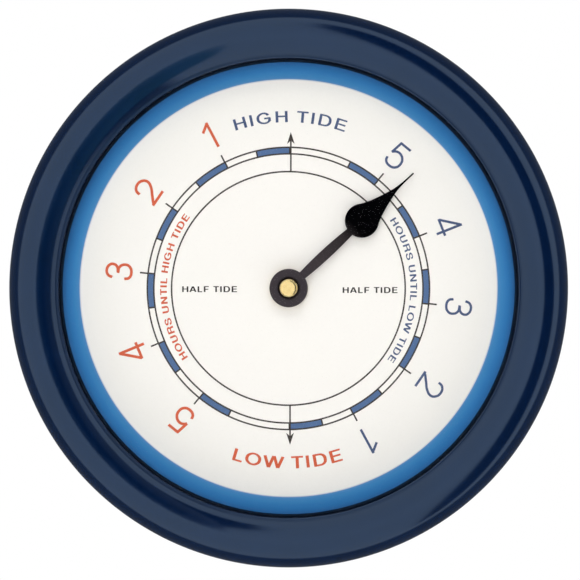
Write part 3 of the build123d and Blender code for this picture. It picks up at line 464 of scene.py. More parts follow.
for angle, offset in ((0, 0.9), (180, -0.6)):
    ink_bar(scale, angle, inner_circle, shaft_end, shaft_lift, offset)
    head = bmesh.new()
    corners = [
        head.verts.new((x * mm, -(dial_front + circle_lift) * mm, z * mm))
        for x, z in ((0, 57.3), (1.4, 52.9), (0, 54.2), (-1.4, 52.9))
    ]
    face = head.faces.new(corners)
    made = bmesh.ops.extrude_face_region(head, geom=[face])
    lifted = [v for v in made["geom"] if isinstance(v, bmesh.types.BMVert)]
    bmesh.ops.translate(head, verts=lifted, vec=(0, -ink_depth * mm, 0))
    bmesh.ops.translate(head, verts=head.verts, vec=(offset * mm, 0, 0))
    bmesh.ops.transform(
        head, verts=head.verts,
        matrix=Matrix.Translation(print_centre) @ Matrix.Rotation(radians(angle), 4, "Y"),
    )
    bmesh.ops.recalc_face_normals(head, faces=head.faces)
    mesh = bpy.data.meshes.new("arrow_head")
    head.to_mesh(mesh)
    scale.from_mesh(mesh)
finish_piece(blocks, "printed_scale_blocks", block_ink, "case")
finish_piece(scale, "printed_scale_lines", line_ink, "case")


# Words and numbers of the dial: a plain wide grotesque for the words and a light one for the
# hours, drawn as strokes of even weight, each letter upright on its circle.

# Each letter in cap heights: the gap before it, its width and its advance, then strokes.
# "l" is straight, "c" is curved and "o" is closed.
letters = {
    "A": (.02, .89, .93, "l .05,.02 .42,.98", "l .84,.02 .47,.98", "l .16,.31 .73,.31"),
    "D": (.11, .83, 1.00, "l .06,0 .06,1", "l 0,.945 .38,.945", "l 0,.055 .38,.055",
          "c .34,.945 .53,.92 .70,.78 .765,.5 .70,.22 .53,.08 .34,.055"),
    "E": (.12, .74, .93, "l .06,0 .06,1", "l 0,.945 .72,.945", "l 0,.52 .68,.52",
          "l 0,.055 .74,.055"),
    "F": (.12, .69, .85, "l .06,0 .06,1", "l 0,.945 .69,.945", "l 0,.49 .61,.49"),
    "G": (.06, .93, 1.08,
          "c .80,.72 .70,.87 .49,.945 .21,.84 .065,.5 .21,.16 .49,.055 .71,.10 .866,.24",
          "l .866,.2 .866,.5", "l .5,.47 .92,.47"),
    "H": (.11, .79, 1.00, "l .06,0 .06,1", "l .73,0 .73,1", "l .06,.53 .73,.53"),
    "I": (.12, .13, .39, "l .065,0 .065,1"),
    "L": (.11, .64, .77, "l .06,0 .06,1", "l 0,.055 .64,.055"),
    "N": (.11, .80, 1.00, "l .06,0 .06,1", "l .735,0 .735,1", "l .07,.96 .72,.04"),
    "O": (.05, .98, 1.08, "o .49,.95 .20,.83 .06,.5 .20,.17 .49,.05 .78,.17 .915,.5 .78,.83"),
    "R": (.12, .83, 1.00, "l .06,0 .06,1", "l 0,.945 .5,.945", "l 0,.515 .55,.515",
          "c .47,.945 .66,.91 .74,.74 .66,.56 .47,.515",
          "c .50,.515 .66,.45 .71,.3 .725,.12 .77,0"),
    "S": (.07, .80, .93, "c .70,.70 .63,.87 .40,.95 .15,.87 .085,.73 .17,.6 .42,.52 .65,.44 "
          ".73,.28 .65,.12 .40,.05 .15,.12 .06,.31"),
    "T": (.02, .81, .85, "l 0,.945 .81,.945", "l .405,0 .405,.945"),
    "U": (.11, .79, 1.00, "l .06,.34 .06,1", "l .727,.34 .727,1",
          "c .06,.38 .075,.22 .17,.1 .39,.05 .61,.1 .71,.22 .727,.38"),
    "W": (.02, 1.27, 1.32, "l .05,.99 .33,.02", "l .34,.02 .62,.99", "l .65,.99 .93,.02",
          "l .94,.02 1.22,.99"),
    "1": (0, .39, .39, "l .34,0 .34,1", "l .36,.97 .04,.70"),
    "2": (0, .68, .68,
          "c .06,.68 .11,.86 .34,.958 .56,.87 .635,.70 .54,.49 .30,.27 .12,.11 .05,.03",
          "l 0,.042 .67,.042"),
    "3": (0, .64, .64, "c .07,.73 .14,.89 .33,.958 .52,.88 .575,.74 .49,.59 .27,.535",
          "c .25,.535 .49,.49 .59,.28 .52,.12 .31,.042 .10,.11 .045,.28"),
    "4": (0, .67, .67, "l .5,0 .5,1", "l .5,.97 .03,.275", "l 0,.27 .67,.27"),
    "5": (0, .66, .66, "l .12,.958 .59,.958", "l .145,.99 .07,.49",
          "c .065,.5 .18,.6 .33,.635 .53,.54 .61,.33 .53,.12 .31,.042 .11,.11 .042,.26"),
}
# How thick the strokes of words and numbers are as drawn here, and how far each stroke lies above
# the last; then how much the words are widened, and the space between two of them.
word_pen, digit_pen, stroke_lift = 0.12, 0.084, 0.12
word_stretch, word_space = 1.37, 0.387
drawn_letters = {}


def draw_letter(letter, level, upright):
    """One letter as a mesh of flattened strokes, one cap height tall. Its level and upright
    strokes are as thick as said, its outer edges stay where they are, and each stroke lies a
    little above the last, so that no two faces share a plane."""
    if (letter, level, upright) not in drawn_letters:
        curve = bpy.data.curves.new("letter", "CURVE")
        curve.dimensions = "3D"
        curve.bevel_depth = level / 2
        curve.bevel_resolution = 1
        curve.use_fill_caps = True
        curve.resolution_u = 8
        width = letters[letter][1]
        drawn_for = digit_pen if letter.isdigit() else word_pen
        squeeze = (width - upright) / (width - drawn_for)
        for number, stroke in enumerate(letters[letter][3:]):
            kind, *points = stroke.split()
            spline = curve.splines.new("BEZIER")
            spline.bezier_points.add(len(points) - 1)
            for knot, point in zip(spline.bezier_points, points):
                x, y = point.split(",")
                across = (float(x) - width / 2) * squeeze * level / upright
                knot.co = (across, float(y), stroke_lift * number * level)
                bend = "VECTOR" if kind == "l" else "AUTO"
                knot.handle_left_type = knot.handle_right_type = bend
            spline.use_cyclic_u = kind == "o"
        pen = bpy.data.objects.new("letter", curve)
        bpy.context.scene.collection.objects.link(pen)
        bpy.context.view_layer.update()
        inked = pen.evaluated_get(bpy.context.evaluated_depsgraph_get())
        mesh = bpy.data.meshes.new_from_object(inked)
        mesh.transform(Matrix.Diagonal((upright / level, 1, 1 / level, 1)))
        bpy.data.objects.remove(pen)
        drawn_letters[letter, level, upright] = mesh
    return drawn_letters[letter, level, upright]


def print_letter(bm, letter, pen, cap, stretch, place):
    """Adds one letter, its foot in the middle at the place's origin."""
    mesh = draw_letter(letter, *pen).copy()
    size = Matrix.Diagonal((cap * stretch * mm, cap * mm, ink_depth * mm, 1))
    flat_on_dial = Matrix(
        ((1, 0, 0, 0), (0, 0, -1, -(dial_front + ink_depth / 2) * mm), (0, 1, 0, 0), (0, 0, 0, 1))
    )
    mesh.transform(place @ flat_on_dial @ size)
    bm.from_mesh(mesh)


def letter_middles(words, space=word_space):
    """Shares of the line's length at which the letters' middles lie."""
    pen, middles = 0.0, []
    for letter in words:
        if letter == " ":
            pen += space
        else:
            gap, width, advance = letters[letter][:3]
            middles.append((letter, pen + gap + width / 2))
            pen += advance
    start = letters[words[0]][0]
    length = middles[-1][1] + letters[words[-1]][1] / 2 - start
    return [(letter, (middle - start) / length) for letter, middle in middles]


def print_on_circle(
    bm, words, cap, start, end, foot_radius, pen, space=word_space, tops_outward=True
):
    """Adds words round the dial between two clockwise angles."""
    for letter, share in letter_middles(words, space):
        angle = radians(start + (end - start) * share)
        upright = Matrix.Rotation(angle, 4, "Y") @ Matrix.Translation((0, 0, foot_radius * mm))
        if not tops_outward:
            upright = upright @ Matrix.Rotation(pi, 4, "Y")
        place = Matrix.Translation(print_centre) @ upright
        print_letter(bm, letter, pen, cap, word_stretch, place)


# Each line of words has its cap height, the angles it runs between, the radius of its feet, and
# how thick its level and upright strokes are in cap heights.
blue_words, red_words, dark_words = bmesh.new(), bmesh.new(), bmesh.new()
print_on_circle(blue_words, "HIGH TIDE", 4.1, -18.6, 20.0, 60.9, (0.142, 0.175), 0.31)
print_on_circle(blue_words, "HOURS UNTIL LOW TIDE", 2.4, 56.2, 125.9, 44.7, (0.15, 0.195))
print_on_circle(red_words, "LOW TIDE", 4.4, 198.4, 162.0, 66.0, (0.152, 0.19), 0.3, False)
print_on_circle(red_words, "HOURS UNTIL HIGH TIDE", 2.4, -124.3, -53.8, 44.55, (0.163, 0.213))
half_tide_width, half_tide_height = 20.3, 2.1
for centre_x, foot in ((-28.9, -1.45), (29.9, -1.78)):
    for letter, share in letter_middles("HALF TIDE"):
        spot = Vector((centre_x + half_tide_width * (share - 0.5), 0, foot)) * mm
        place = Matrix.Translation(clock_centre + spot)
        print_letter(dark_words, letter, (0.16, 0.21), half_tide_height, word_stretch, place)

# The hours: each number's clockwise angle, and how far out its foot lies.
red_hours = (
    ("1", -27.7, 57.8), ("2", -55.5, 57.7), ("3", -84.3, 57.5), ("4", -112.6, 56.8),
    ("5", -140.8, 57.1),
)
blue_hours = (
    ("5", 39.5, 57.7), ("4", 68.4, 57.7), ("3", 96.4, 57.7), ("2", 124.6, 58.2),
    ("1", 151.6, 58.1),
)
hour_height = 9.9
for words, width, hours in ((red_words, 0.102, red_hours), (blue_words, 0.09, blue_hours)):
    for hour, angle, foot in hours:
        spot = Matrix.Rotation(radians(angle), 4, "Y") @ Matrix.Translation((0, 0, foot * mm))
        place = Matrix.Translation(clock_centre) @ spot
        print_letter(words, hour, (width, width), hour_height, 1.0, place)
for words, name, ink in (
    (blue_words, "printed_blue_words", blue_ink),
    (red_words, "printed_red_words", red_ink),
    (dark_words, "printed_half_tide_words", dark_ink),
):
    bmesh.ops.recalc_face_normals(words, faces=words.faces)
    finish_piece(words, name, ink, "case")


# Hand and its round hub: stamped from sheet aluminium, painted matt black and pressed on
# the arbor.

# Matt black paint: deepest on the spade, and paler up the stem and over the hub as painted sheen of
# the room's light. Right round the cap nut it is nearly black, a painted shadow of a gap there.
black_paint, tree = blank_material("matt_black_painted_aluminium")
where = add_node(tree, "ShaderNodeTexCoord").outputs["Object"]
hand_tip = 62
share = add_node(
    tree, "ShaderNodeMapRange",
    {
        "Value": reach_from_axis(tree, where), "From Min": 0, "From Max": hand_tip * mm,
        "To Min": 0, "To Max": 1,
    },
)
painted_light_fade = add_node(tree, "ShaderNodeValToRGB", {"Fac": share.outputs["Result"]})
# Tones by radius in mm: painted shadow round the cap nut, painted sheen from hub to stem, black
# spade.
hand_tones_with_painted_light = (
    (0, "#080605"), (3.8, "#080605"), (4.4, "#3f3a3f"), (14, "#3e383b"), (27, "#302b2d"),
    (33, "#010102"), (hand_tip, "#010103"),
)
for radius, code in hand_tones_with_painted_light[2:]:
    painted_light_fade.color_ramp.elements.new(radius / hand_tip)
for element, (radius, code) in zip(painted_light_fade.color_ramp.elements, hand_tones_with_painted_light):
    element.position = radius / hand_tip
    element.color = linear(code)
speckle = add_node(
    tree, "ShaderNodeTexNoise", {"Vector": where, "Scale": 1 / (0.25 * mm), "Detail": 3}
)
spray = add_node(
    tree, "ShaderNodeBump",
    {"Height": speckle.outputs["Fac"], "Strength": 0.2, "Distance": 0.01 * mm},
)
sheen = add_node(
    tree, "ShaderNodeMapRange",
    {
        "Value": speckle.outputs["Fac"], "From Min": 0.3, "From Max": 0.7, "To Min": 0.42,
        "To Max": 0.55,
    },
)
paint_film = add_node(
    tree, "ShaderNodeBsdfPrincipled",
    {
        "Base Color": painted_light_fade.outputs["Color"], "Roughness": sheen.outputs["Result"],
        "Normal": spray.outputs["Normal"], "IOR": 1.45, "Specular IOR Level": 0.01,
    },
)
add_node(tree, "ShaderNodeOutputMaterial", {"Surface": paint_film.outputs["BSDF"]})
paint(black_paint, "tide_hand")


# Cap nut and bushing stack: a small closed nut that holds the hand, and behind the hand the
# threaded bushing, washer and hexagon nut that hold the movement, all turned from brass bar. A
# rubber washer lies between backplate and movement.

# Turned brass: pale yellow, with fine rings from the lathe about 0.4 mm apart.
turned_brass, tree = blank_material("turned_brass")
where = add_node(tree, "ShaderNodeTexCoord").outputs["Object"]
from_axis = add_node(
    tree, "ShaderNodeMapping", {"Vector": where, "Location": (0, 0, -clock_centre.z)}
)
rings = add_node(
    tree, "ShaderNodeTexWave",
    {"Vector": from_axis.outputs["Vector"], "Scale": 1 / (1.2 * mm), "Distortion": 0.6},
    wave_type="RINGS", rings_direction="Y",
)
tarnish = add_node(
    tree, "ShaderNodeTexNoise", {"Vector": where, "Scale": 1 / (1.5 * mm), "Detail": 3}
)
brass_tone = add_node(tree, "ShaderNodeValToRGB", {"Fac": tarnish.outputs["Fac"]})
brass_tone.color_ramp.elements[0].position = 0.3
brass_tone.color_ramp.elements[0].color = linear("#fadd98")
brass_tone.color_ramp.elements[1].position = 0.75
brass_tone.color_ramp.elements[1].color = linear("#ffe7a6")
lathe = add_node(
    tree, "ShaderNodeBump",
    {"Height": rings.outputs["Fac"], "Strength": 0.06, "Distance": 0.01 * mm},
)
brass = add_node(
    tree, "ShaderNodeBsdfPrincipled",
    {
        "Base Color": brass_tone.outputs["Color"], "Metallic": 1.0, "Roughness": 0.22,
        "Normal": lathe.outputs["Normal"],
    },
)
add_node(tree, "ShaderNodeOutputMaterial", {"Surface": brass.outputs["BSDF"]})
paint(turned_brass, "cap_nut", "threaded_bushing", "brass_washer", "hex_nut")

# Black rubber of the washer behind the backplate: matt, dusty, faintly grainy.
rubber, tree = blank_material("black_moulded_rubber")
where = add_node(tree, "ShaderNodeTexCoord").outputs["Object"]
dust = add_node(tree, "ShaderNodeTexNoise", {"Vector": where, "Scale": 1 / (0.4 * mm), "Detail": 4})
rubber_tone = add_node(tree, "ShaderNodeValToRGB", {"Fac": dust.outputs["Fac"]})
rubber_tone.color_ramp.elements[0].color = linear("#141416")
rubber_tone.color_ramp.elements[1].color = linear("#2a2a2c")
rubber_skin = add_node(
    tree, "ShaderNodeBsdfPrincipled",
    {"Base Color": rubber_tone.outputs["Color"], "Roughness": 0.85, "Specular IOR Level": 0.3},
)
add_node(tree, "ShaderNodeOutputMaterial", {"Surface": rubber_skin.outputs["BSDF"]})
paint(rubber, "rubber_washer")


# Backplate: a plate of black ABS that closes the case behind the dial, ribbed on the back and
# held by six self-tapping screws. A plated steel plate with a keyhole hangs it on the wall.

# Textured black ABS: an even fine grain from the mould, half matt.
textured_abs, tree = blank_material("textured_black_abs")
where = add_node(tree, "ShaderNodeTexCoord").outputs["Object"]
cells = add_node(tree, "ShaderNodeTexVoronoi", {"Vector": where, "Scale": 1 / (0.9 * mm)})
clouds = add_node(
    tree, "ShaderNodeTexNoise", {"Vector": where, "Scale": 1 / (25 * mm), "Detail": 3}
)
abs_tone = add_node(tree, "ShaderNodeValToRGB", {"Fac": clouds.outputs["Fac"]})
abs_tone.color_ramp.elements[0].color = linear("#1c1d20")
abs_tone.color_ramp.elements[1].color = linear("#2a2b2f")
abs_grain = add_node(
    tree, "ShaderNodeBump",
    {"Height": cells.outputs["Distance"], "Strength": 0.35, "Distance": 0.05 * mm},
)
abs_shader = add_node(
    tree, "ShaderNodeBsdfPrincipled",
    {
        "Base Color": abs_tone.outputs["Color"], "Roughness": 0.45,
        "Normal": abs_grain.outputs["Normal"], "IOR": 1.54,
    },
)
add_node(tree, "ShaderNodeOutputMaterial", {"Surface": abs_shader.outputs["BSDF"]})
paint(textured_abs, "backplate", "setting_knob")


# Zinc-plated steel of the screws, the hanger and the contacts: bright, cloudy blue-white
# passivation, with painted shade darkening the floor of each screw's cross slot.
def zinc_plating(name, slot_floor=None):
    """Makes the plated steel; for a screw, slot_floor is the Y of the floor of its slot, where
    shade is painted.
    """
    steel, tree = blank_material(name)
    where = add_node(tree, "ShaderNodeTexCoord").outputs["Object"]
    spangle = add_node(
        tree, "ShaderNodeTexNoise", {"Vector": where, "Scale": 1 / (2.5 * mm), "Detail": 4}
    )
    zinc_tone = add_node(tree, "ShaderNodeValToRGB", {"Fac": spangle.outputs["Fac"]})
    zinc_tone.color_ramp.elements[0].color = linear("#a9b0b8")
    zinc_tone.color_ramp.elements[1].color = linear("#cfd0cc")
    tone = zinc_tone.outputs["Color"]
    if slot_floor is not None:
        split = add_node(tree, "ShaderNodeSeparateXYZ", {"Vector": where})
        either_way = 0.5 * mm
        round_floor = add_node(
            tree, "ShaderNodeMapRange",
            {
                "Value": split.outputs["Y"], "From Min": slot_floor - either_way,
                "From Max": slot_floor + either_way, "To Min": 0, "To Max": 1,
            },
        )
        # A thin band of depth at the slot floor is darkened: painted shade in the slot.
        painted_slot_shade = add_node(tree, "ShaderNodeValToRGB", {"Fac": round_floor.outputs["Result"]})
        slot_shade_from, slot_shade_to = 0.42, 0.58
        painted_slot_shade.color_ramp.interpolation = "CONSTANT"
        painted_slot_shade.color_ramp.elements[0].color = linear("#ffffff")
        painted_slot_shade.color_ramp.elements[1].position = slot_shade_from
        painted_slot_shade.color_ramp.elements[1].color = linear("#55524e")
        painted_slot_shade.color_ramp.elements.new(slot_shade_to).color = linear("#ffffff")
        slot_shaded = add_node(
            tree, "ShaderNodeHueSaturation", {"Color": tone, "Value": painted_slot_shade.outputs["Color"]}
        )
        tone = slot_shaded.outputs["Color"]
    zinc_rough = add_node(
        tree, "ShaderNodeMapRange",
        {
            "Value": spangle.outputs["Fac"], "From Min": 0.3, "From Max": 0.7, "To Min": 0.28,
            "To Max": 0.45,
        },
    )
    zinc = add_node(
        tree, "ShaderNodeBsdfPrincipled",
        {"Base Color": tone, "Metallic": 1.0, "Roughness": zinc_rough.outputs["Result"]},
    )
    add_node(tree, "ShaderNodeOutputMaterial", {"Surface": zinc.outputs["BSDF"]})
    return steel


zinc_steel = zinc_plating("zinc_plated_steel")
paint(
    zinc_steel, "hanger_plate", "stator_screws", "tide_arbor", "positive_contact",
    "negative_contact",
)
for screws, slot_depth in (
    ("backplate_screws", 0.7), ("hanger_screws", 0.7), ("movement_screws", 0.5),
):
    head_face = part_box(screws)[1].y
    paint(zinc_plating(f"zinc_plated_{screws}", head_face - slot_depth * mm), screws)


# Movement: quartz, in a housing of dark grey polystyrene held together by small screws, with a
# black knob for setting the hand and an open bay for one AA cell.

# Moulded housing plastic: dark grey, satin, with faint flow marks.
housing_plastic, tree = blank_material("dark_grey_moulded_polystyrene")
where = add_node(tree, "ShaderNodeTexCoord").outputs["Object"]
flow = add_node(
    tree, "ShaderNodeTexNoise",
    {"Vector": where, "Scale": 1 / (9 * mm), "Detail": 3, "Distortion": 1.5},
)
housing_tone = add_node(tree, "ShaderNodeValToRGB", {"Fac": flow.outputs["Fac"]})
housing_tone.color_ramp.elements[0].color = linear("#2b2c2f")
housing_tone.color_ramp.elements[1].color = linear("#36373b")
stipple = add_node(
    tree, "ShaderNodeTexNoise", {"Vector": where, "Scale": 1 / (0.5 * mm), "Detail": 2}
)
housing_bump = add_node(
    tree, "ShaderNodeBump",
    {"Height": stipple.outputs["Fac"], "Strength": 0.2, "Distance": 0.02 * mm},
)
housing = add_node(
    tree, "ShaderNodeBsdfPrincipled",
    {
        "Base Color": housing_tone.outputs["Color"], "Roughness": 0.4,
        "Normal": housing_bump.outputs["Normal"], "IOR": 1.59,
    },
)
add_node(tree, "ShaderNodeOutputMaterial", {"Surface": housing.outputs["BSDF"]})
paint(housing_plastic, "movement_case", "movement_cover", "coil_bobbin")

# Acetal of the wheels: milky white, slightly waxy.
acetal, tree = blank_material("white_moulded_acetal")
where = add_node(tree, "ShaderNodeTexCoord").outputs["Object"]
milk = add_node(tree, "ShaderNodeTexNoise", {"Vector": where, "Scale": 1 / (3 * mm), "Detail": 2})
acetal_tone = add_node(tree, "ShaderNodeValToRGB", {"Fac": milk.outputs["Fac"]})
acetal_tone.color_ramp.elements[0].color = linear("#e3e2dc")
acetal_tone.color_ramp.elements[1].color = linear("#efeee8")
acetal_shader = add_node(
    tree, "ShaderNodeBsdfPrincipled",
    {"Base Color": acetal_tone.outputs["Color"], "Roughness": 0.35, "IOR": 1.48},
)
add_node(tree, "ShaderNodeOutputMaterial", {"Surface": acetal_shader.outputs["BSDF"]})
paint(
    acetal, "tide_wheel", "transfer_wheel", "cannon_pinion", "hour_wheel", "third_wheel",
    "fourth_wheel", "intermediate_wheel", "rotor",
)

# Motor iron: soft iron with a grey oxide skin. The rotor's magnet has the same grey.
motor_iron, tree = blank_material("oxide_grey_soft_iron")
where = add_node(tree, "ShaderNodeTexCoord").outputs["Object"]
oxide = add_node(
    tree, "ShaderNodeTexNoise", {"Vector": where, "Scale": 1 / (1.2 * mm), "Detail": 4}
)
iron_tone = add_node(tree, "ShaderNodeValToRGB", {"Fac": oxide.outputs["Fac"]})
iron_tone.color_ramp.elements[0].color = linear("#5a5d61")
iron_tone.color_ramp.elements[1].color = linear("#7d7f80")
iron = add_node(
    tree, "ShaderNodeBsdfPrincipled",
    {"Base Color": iron_tone.outputs["Color"], "Metallic": 1.0, "Roughness": 0.5},
)
add_node(tree, "ShaderNodeOutputMaterial", {"Surface": iron.outputs["BSDF"]})
paint(motor_iron, "stator", "coil_core", "rotor_magnet")

# Enamelled copper wire of the coil: reddish orange turns, about 0.2 mm apart along X.
copper_wire, tree = blank_material("enamelled_copper_wire")
where = add_node(tree, "ShaderNodeTexCoord").outputs["Object"]
turns = add_node(
    tree, "ShaderNodeTexWave", {"Vector": where, "Scale": 1 / (0.6 * mm), "Distortion": 0.3},
    wave_type="BANDS", bands_direction="X",
)
wire_tone = add_node(tree, "ShaderNodeValToRGB", {"Fac": turns.outputs["Fac"]})
wire_tone.color_ramp.elements[0].color = linear("#8a3c1c")
wire_tone.color_ramp.elements[1].color = linear("#d47a45")
wire_bump = add_node(
    tree, "ShaderNodeBump", {"Height": turns.outputs["Fac"], "Strength": 0.6, "Distance": 0.05 * mm}
)
wire = add_node(
    tree, "ShaderNodeBsdfPrincipled",
    {
        "Base Color": wire_tone.outputs["Color"], "Metallic": 0.8, "Roughness": 0.3,
        "Normal": wire_bump.outputs["Normal"],
    },
)
add_node(tree, "ShaderNodeOutputMaterial", {"Surface": wire.outputs["BSDF"]})
paint(copper_wire, "coil_winding")

# Circuit board: glass laminate under green solder resist. Its chip is black and its crystal's
# can is plated.
board_resist, tree = blank_material("green_solder_resist")
where = add_node(tree, "ShaderNodeTexCoord").outputs["Object"]
weave = add_node(
    tree, "ShaderNodeTexVoronoi", {"Vector": where, "Scale": 1 / (0.7 * mm)}, distance="MANHATTAN"
)
resist_tone = add_node(tree, "ShaderNodeValToRGB", {"Fac": weave.outputs["Distance"]})
resist_tone.color_ramp.elements[0].color = linear("#14502f")
resist_tone.color_ramp.elements[1].color = linear("#1f6b40")
resist = add_node(
    tree, "ShaderNodeBsdfPrincipled",
    {"Base Color": resist_tone.outputs["Color"], "Roughness": 0.3, "IOR": 1.55},
)
add_node(tree, "ShaderNodeOutputMaterial", {"Surface": resist.outputs["BSDF"]})
paint(board_resist, "circuit_board")
paint(rubber, "chip")
paint(zinc_steel, "quartz_crystal")


# Battery: one AA cell in a plain printed sleeve, with a plated can crimped at both ends and a
# nub at the right.

# Sleeve of the cell: shrunk film, graphite grey with a copper-coloured band at the nub end.
cell_sleeve, tree = blank_material("shrunk_printed_sleeve")
where = add_node(tree, "ShaderNodeTexCoord").outputs["Object"]
along = add_node(tree, "ShaderNodeSeparateXYZ", {"Vector": where})
band_place = add_node(
    tree, "ShaderNodeMapRange",
    {
        "Value": along.outputs["X"], "From Min": -24.5 * mm, "From Max": 26 * mm, "To Min": 0,
        "To Max": 1,
    },
)
sleeve_tone = add_node(tree, "ShaderNodeValToRGB", {"Fac": band_place.outputs["Result"]})
sleeve_tone.color_ramp.interpolation = "CONSTANT"
sleeve_tone.color_ramp.elements[0].color = linear("#26282b")
sleeve_tone.color_ramp.elements[1].position = 0.72
sleeve_tone.color_ramp.elements[1].color = linear("#b8764a")
creases = add_node(
    tree, "ShaderNodeTexNoise", {"Vector": where, "Scale": 1 / (4 * mm), "Detail": 3}
)
sleeve_bump = add_node(
    tree, "ShaderNodeBump",
    {"Height": creases.outputs["Fac"], "Strength": 0.1, "Distance": 0.05 * mm},
)
sleeve = add_node(
    tree, "ShaderNodeBsdfPrincipled",
    {
        "Base Color": sleeve_tone.outputs["Color"], "Roughness": 0.22,
        "Normal": sleeve_bump.outputs["Normal"], "IOR": 1.5, "Coat Weight": 0.4,
    },
)
add_node(tree, "ShaderNodeOutputMaterial", {"Surface": sleeve.outputs["BSDF"]})

cell_low, cell_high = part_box("battery")
cell_axis = (cell_low + cell_high) / 2
cell_left, cell_right = cell_low.x / mm, cell_high.x / mm
cell_outline = [
    (cell_left + 0.3, 0), (cell_left + 0.3, 5.2), (cell_left, 5.5), (cell_left, 6.3),
    (cell_left + 0.4, 6.9), (cell_left + 1.0, 7.1), (cell_right - 2.3, 7.1),
    (cell_right - 1.7, 6.9), (cell_right - 1.3, 6.3), (cell_right - 1.3, 5.4),
    (cell_right - 1.6, 5.1), (cell_right - 1.6, 2.9), (cell_right - 1.2, 2.7),
    (cell_right - 0.2, 2.7), (cell_right, 2.5), (cell_right, 0),
]
cell = bmesh.new()
outline = [
    cell.verts.new((x * mm, cell_axis.y, cell_axis.z + radius * mm)) for x, radius in cell_outline
]
for first, second in zip(outline, outline[1:]):
    cell.edges.new((first, second))
bmesh.ops.spin(
    cell, geom=cell.verts[:] + cell.edges[:], cent=cell_axis, axis=(1, 0, 0), angle=2 * pi,
    steps=64, use_merge=True,
)
bmesh.ops.remove_doubles(cell, verts=cell.verts, dist=weld_distance)
bmesh.ops.recalc_face_normals(cell, faces=cell.faces)
sleeve_left, sleeve_right = (cell_left + 0.6) * mm, (cell_right - 2.0) * mm
for face in cell.faces:
    middle = face.calc_center_median()
    face.material_index = 1 if middle.x > sleeve_right or middle.x < sleeve_left else 0
cell = finish_piece(cell, "aa_cell", cell_sleeve, "cell")
cell.data.materials.append(zinc_steel)
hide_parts("battery")


# Room: a plain studio, with the camera a metre off and level with the hand's axis, soft lamps, a
# pale floor and a white surround. Cards that only reflections see give the ring its dark bands.

scene = bpy.context.scene
camera_distance = 1.021
camera = bpy.data.objects.new("camera", bpy.data.cameras.new("camera"))
camera.data.sensor_width = 36
camera.data.lens = 169.4
camera.location = (0.5 * mm, -camera_distance, clock_centre.z - 0.7 * mm)
camera.rotation_euler = (pi / 2, 0, 0)
scene.collection.objects.link(camera)
scene.camera = camera

# Lamps: where each stands, how wide it is in metres, and its power in watts. All face the clock.
for name, place, size, power in (
    ("front_lamp", (-0.03, -1.9, 0), 1.0, 14.6),
    ("overhead_lamp", (0, -2.4, 1.7), 1.2, 15.2),
    ("back_lamp", (-0.8, 1.6, 0.9), 1.2, 26),
    ("left_lamp", (-1.6, 0.8, 0.2), 1.2, 9),
    ("right_lamp", (1.6, 0.8, 0.2), 1.2, 9),
    ("top_lamp", (0, 0.8, 1.6), 1.2, 9),
):
    lamp = bpy.data.lights.new(name, "AREA")
    lamp.shape = "DISK"
    lamp.size = size
    lamp.energy = power
    lamp_object = bpy.data.objects.new(name, lamp)
    lamp_object.location = place
    lamp_object.rotation_euler = (clock_centre - Vector(place)).to_track_quat("-Z", "Y").to_euler()
    lamp_object.visible_glossy = lamp_object.visible_transmission = False
    scene.collection.objects.link(lamp_object)

world = bpy.data.worlds.new("white_surround")
world.use_nodes = True
world.node_tree.nodes.clear()
tree = world.node_tree
ray = add_node(tree, "ShaderNodeLightPath")
seen = add_node(
    tree, "ShaderNodeMath", {0: ray.outputs["Is Camera Ray"], 1: ray.outputs["Is Glossy Ray"]},
    operation="MAXIMUM",
)
seen_or_through = add_node(
    tree, "ShaderNodeMath", {0: seen.outputs["Value"], 1: ray.outputs["Is Transmission Ray"]},
    operation="MAXIMUM",
)
brightness = add_node(
    tree, "ShaderNodeMapRange",
    {"Value": seen_or_through.outputs["Value"], "To Min": 0.3, "To Max": 1.0},
)
# Behind the clock, gloss sees a room that goes from a dim floor to a bright ceiling.
toward = add_node(tree, "ShaderNodeTexCoord").outputs["Generated"]
direction = add_node(tree, "ShaderNodeSeparateXYZ", {"Vector": toward})
behind = add_node(
    tree, "ShaderNodeMapRange",
    {"Value": direction.outputs["Y"], "From Min": 0.05, "From Max": 0.4, "To Min": 0, "To Max": 1},
)
mirrored = add_node(
    tree, "ShaderNodeMath", {0: behind.outputs["Result"], 1: ray.outputs["Is Glossy Ray"]},
    operation="MULTIPLY",
)
room = add_node(
    tree, "ShaderNodeMapRange",
    {
        "Value": direction.outputs["Z"], "From Min": -0.5, "From Max": 0.7, "To Min": 0.12,
        "To Max": 1.4,
    },
)
level = add_node(
    tree, "ShaderNodeMix",
    {0: mirrored.outputs["Value"], 2: brightness.outputs["Result"], 3: room.outputs["Result"]},
)
surround = add_node(
    tree, "ShaderNodeBackground", {"Color": (1, 1, 1, 1), "Strength": level.outputs[0]}
)
add_node(tree, "ShaderNodeOutputWorld", {"Surface": surround.outputs["Background"]})
scene.world = world

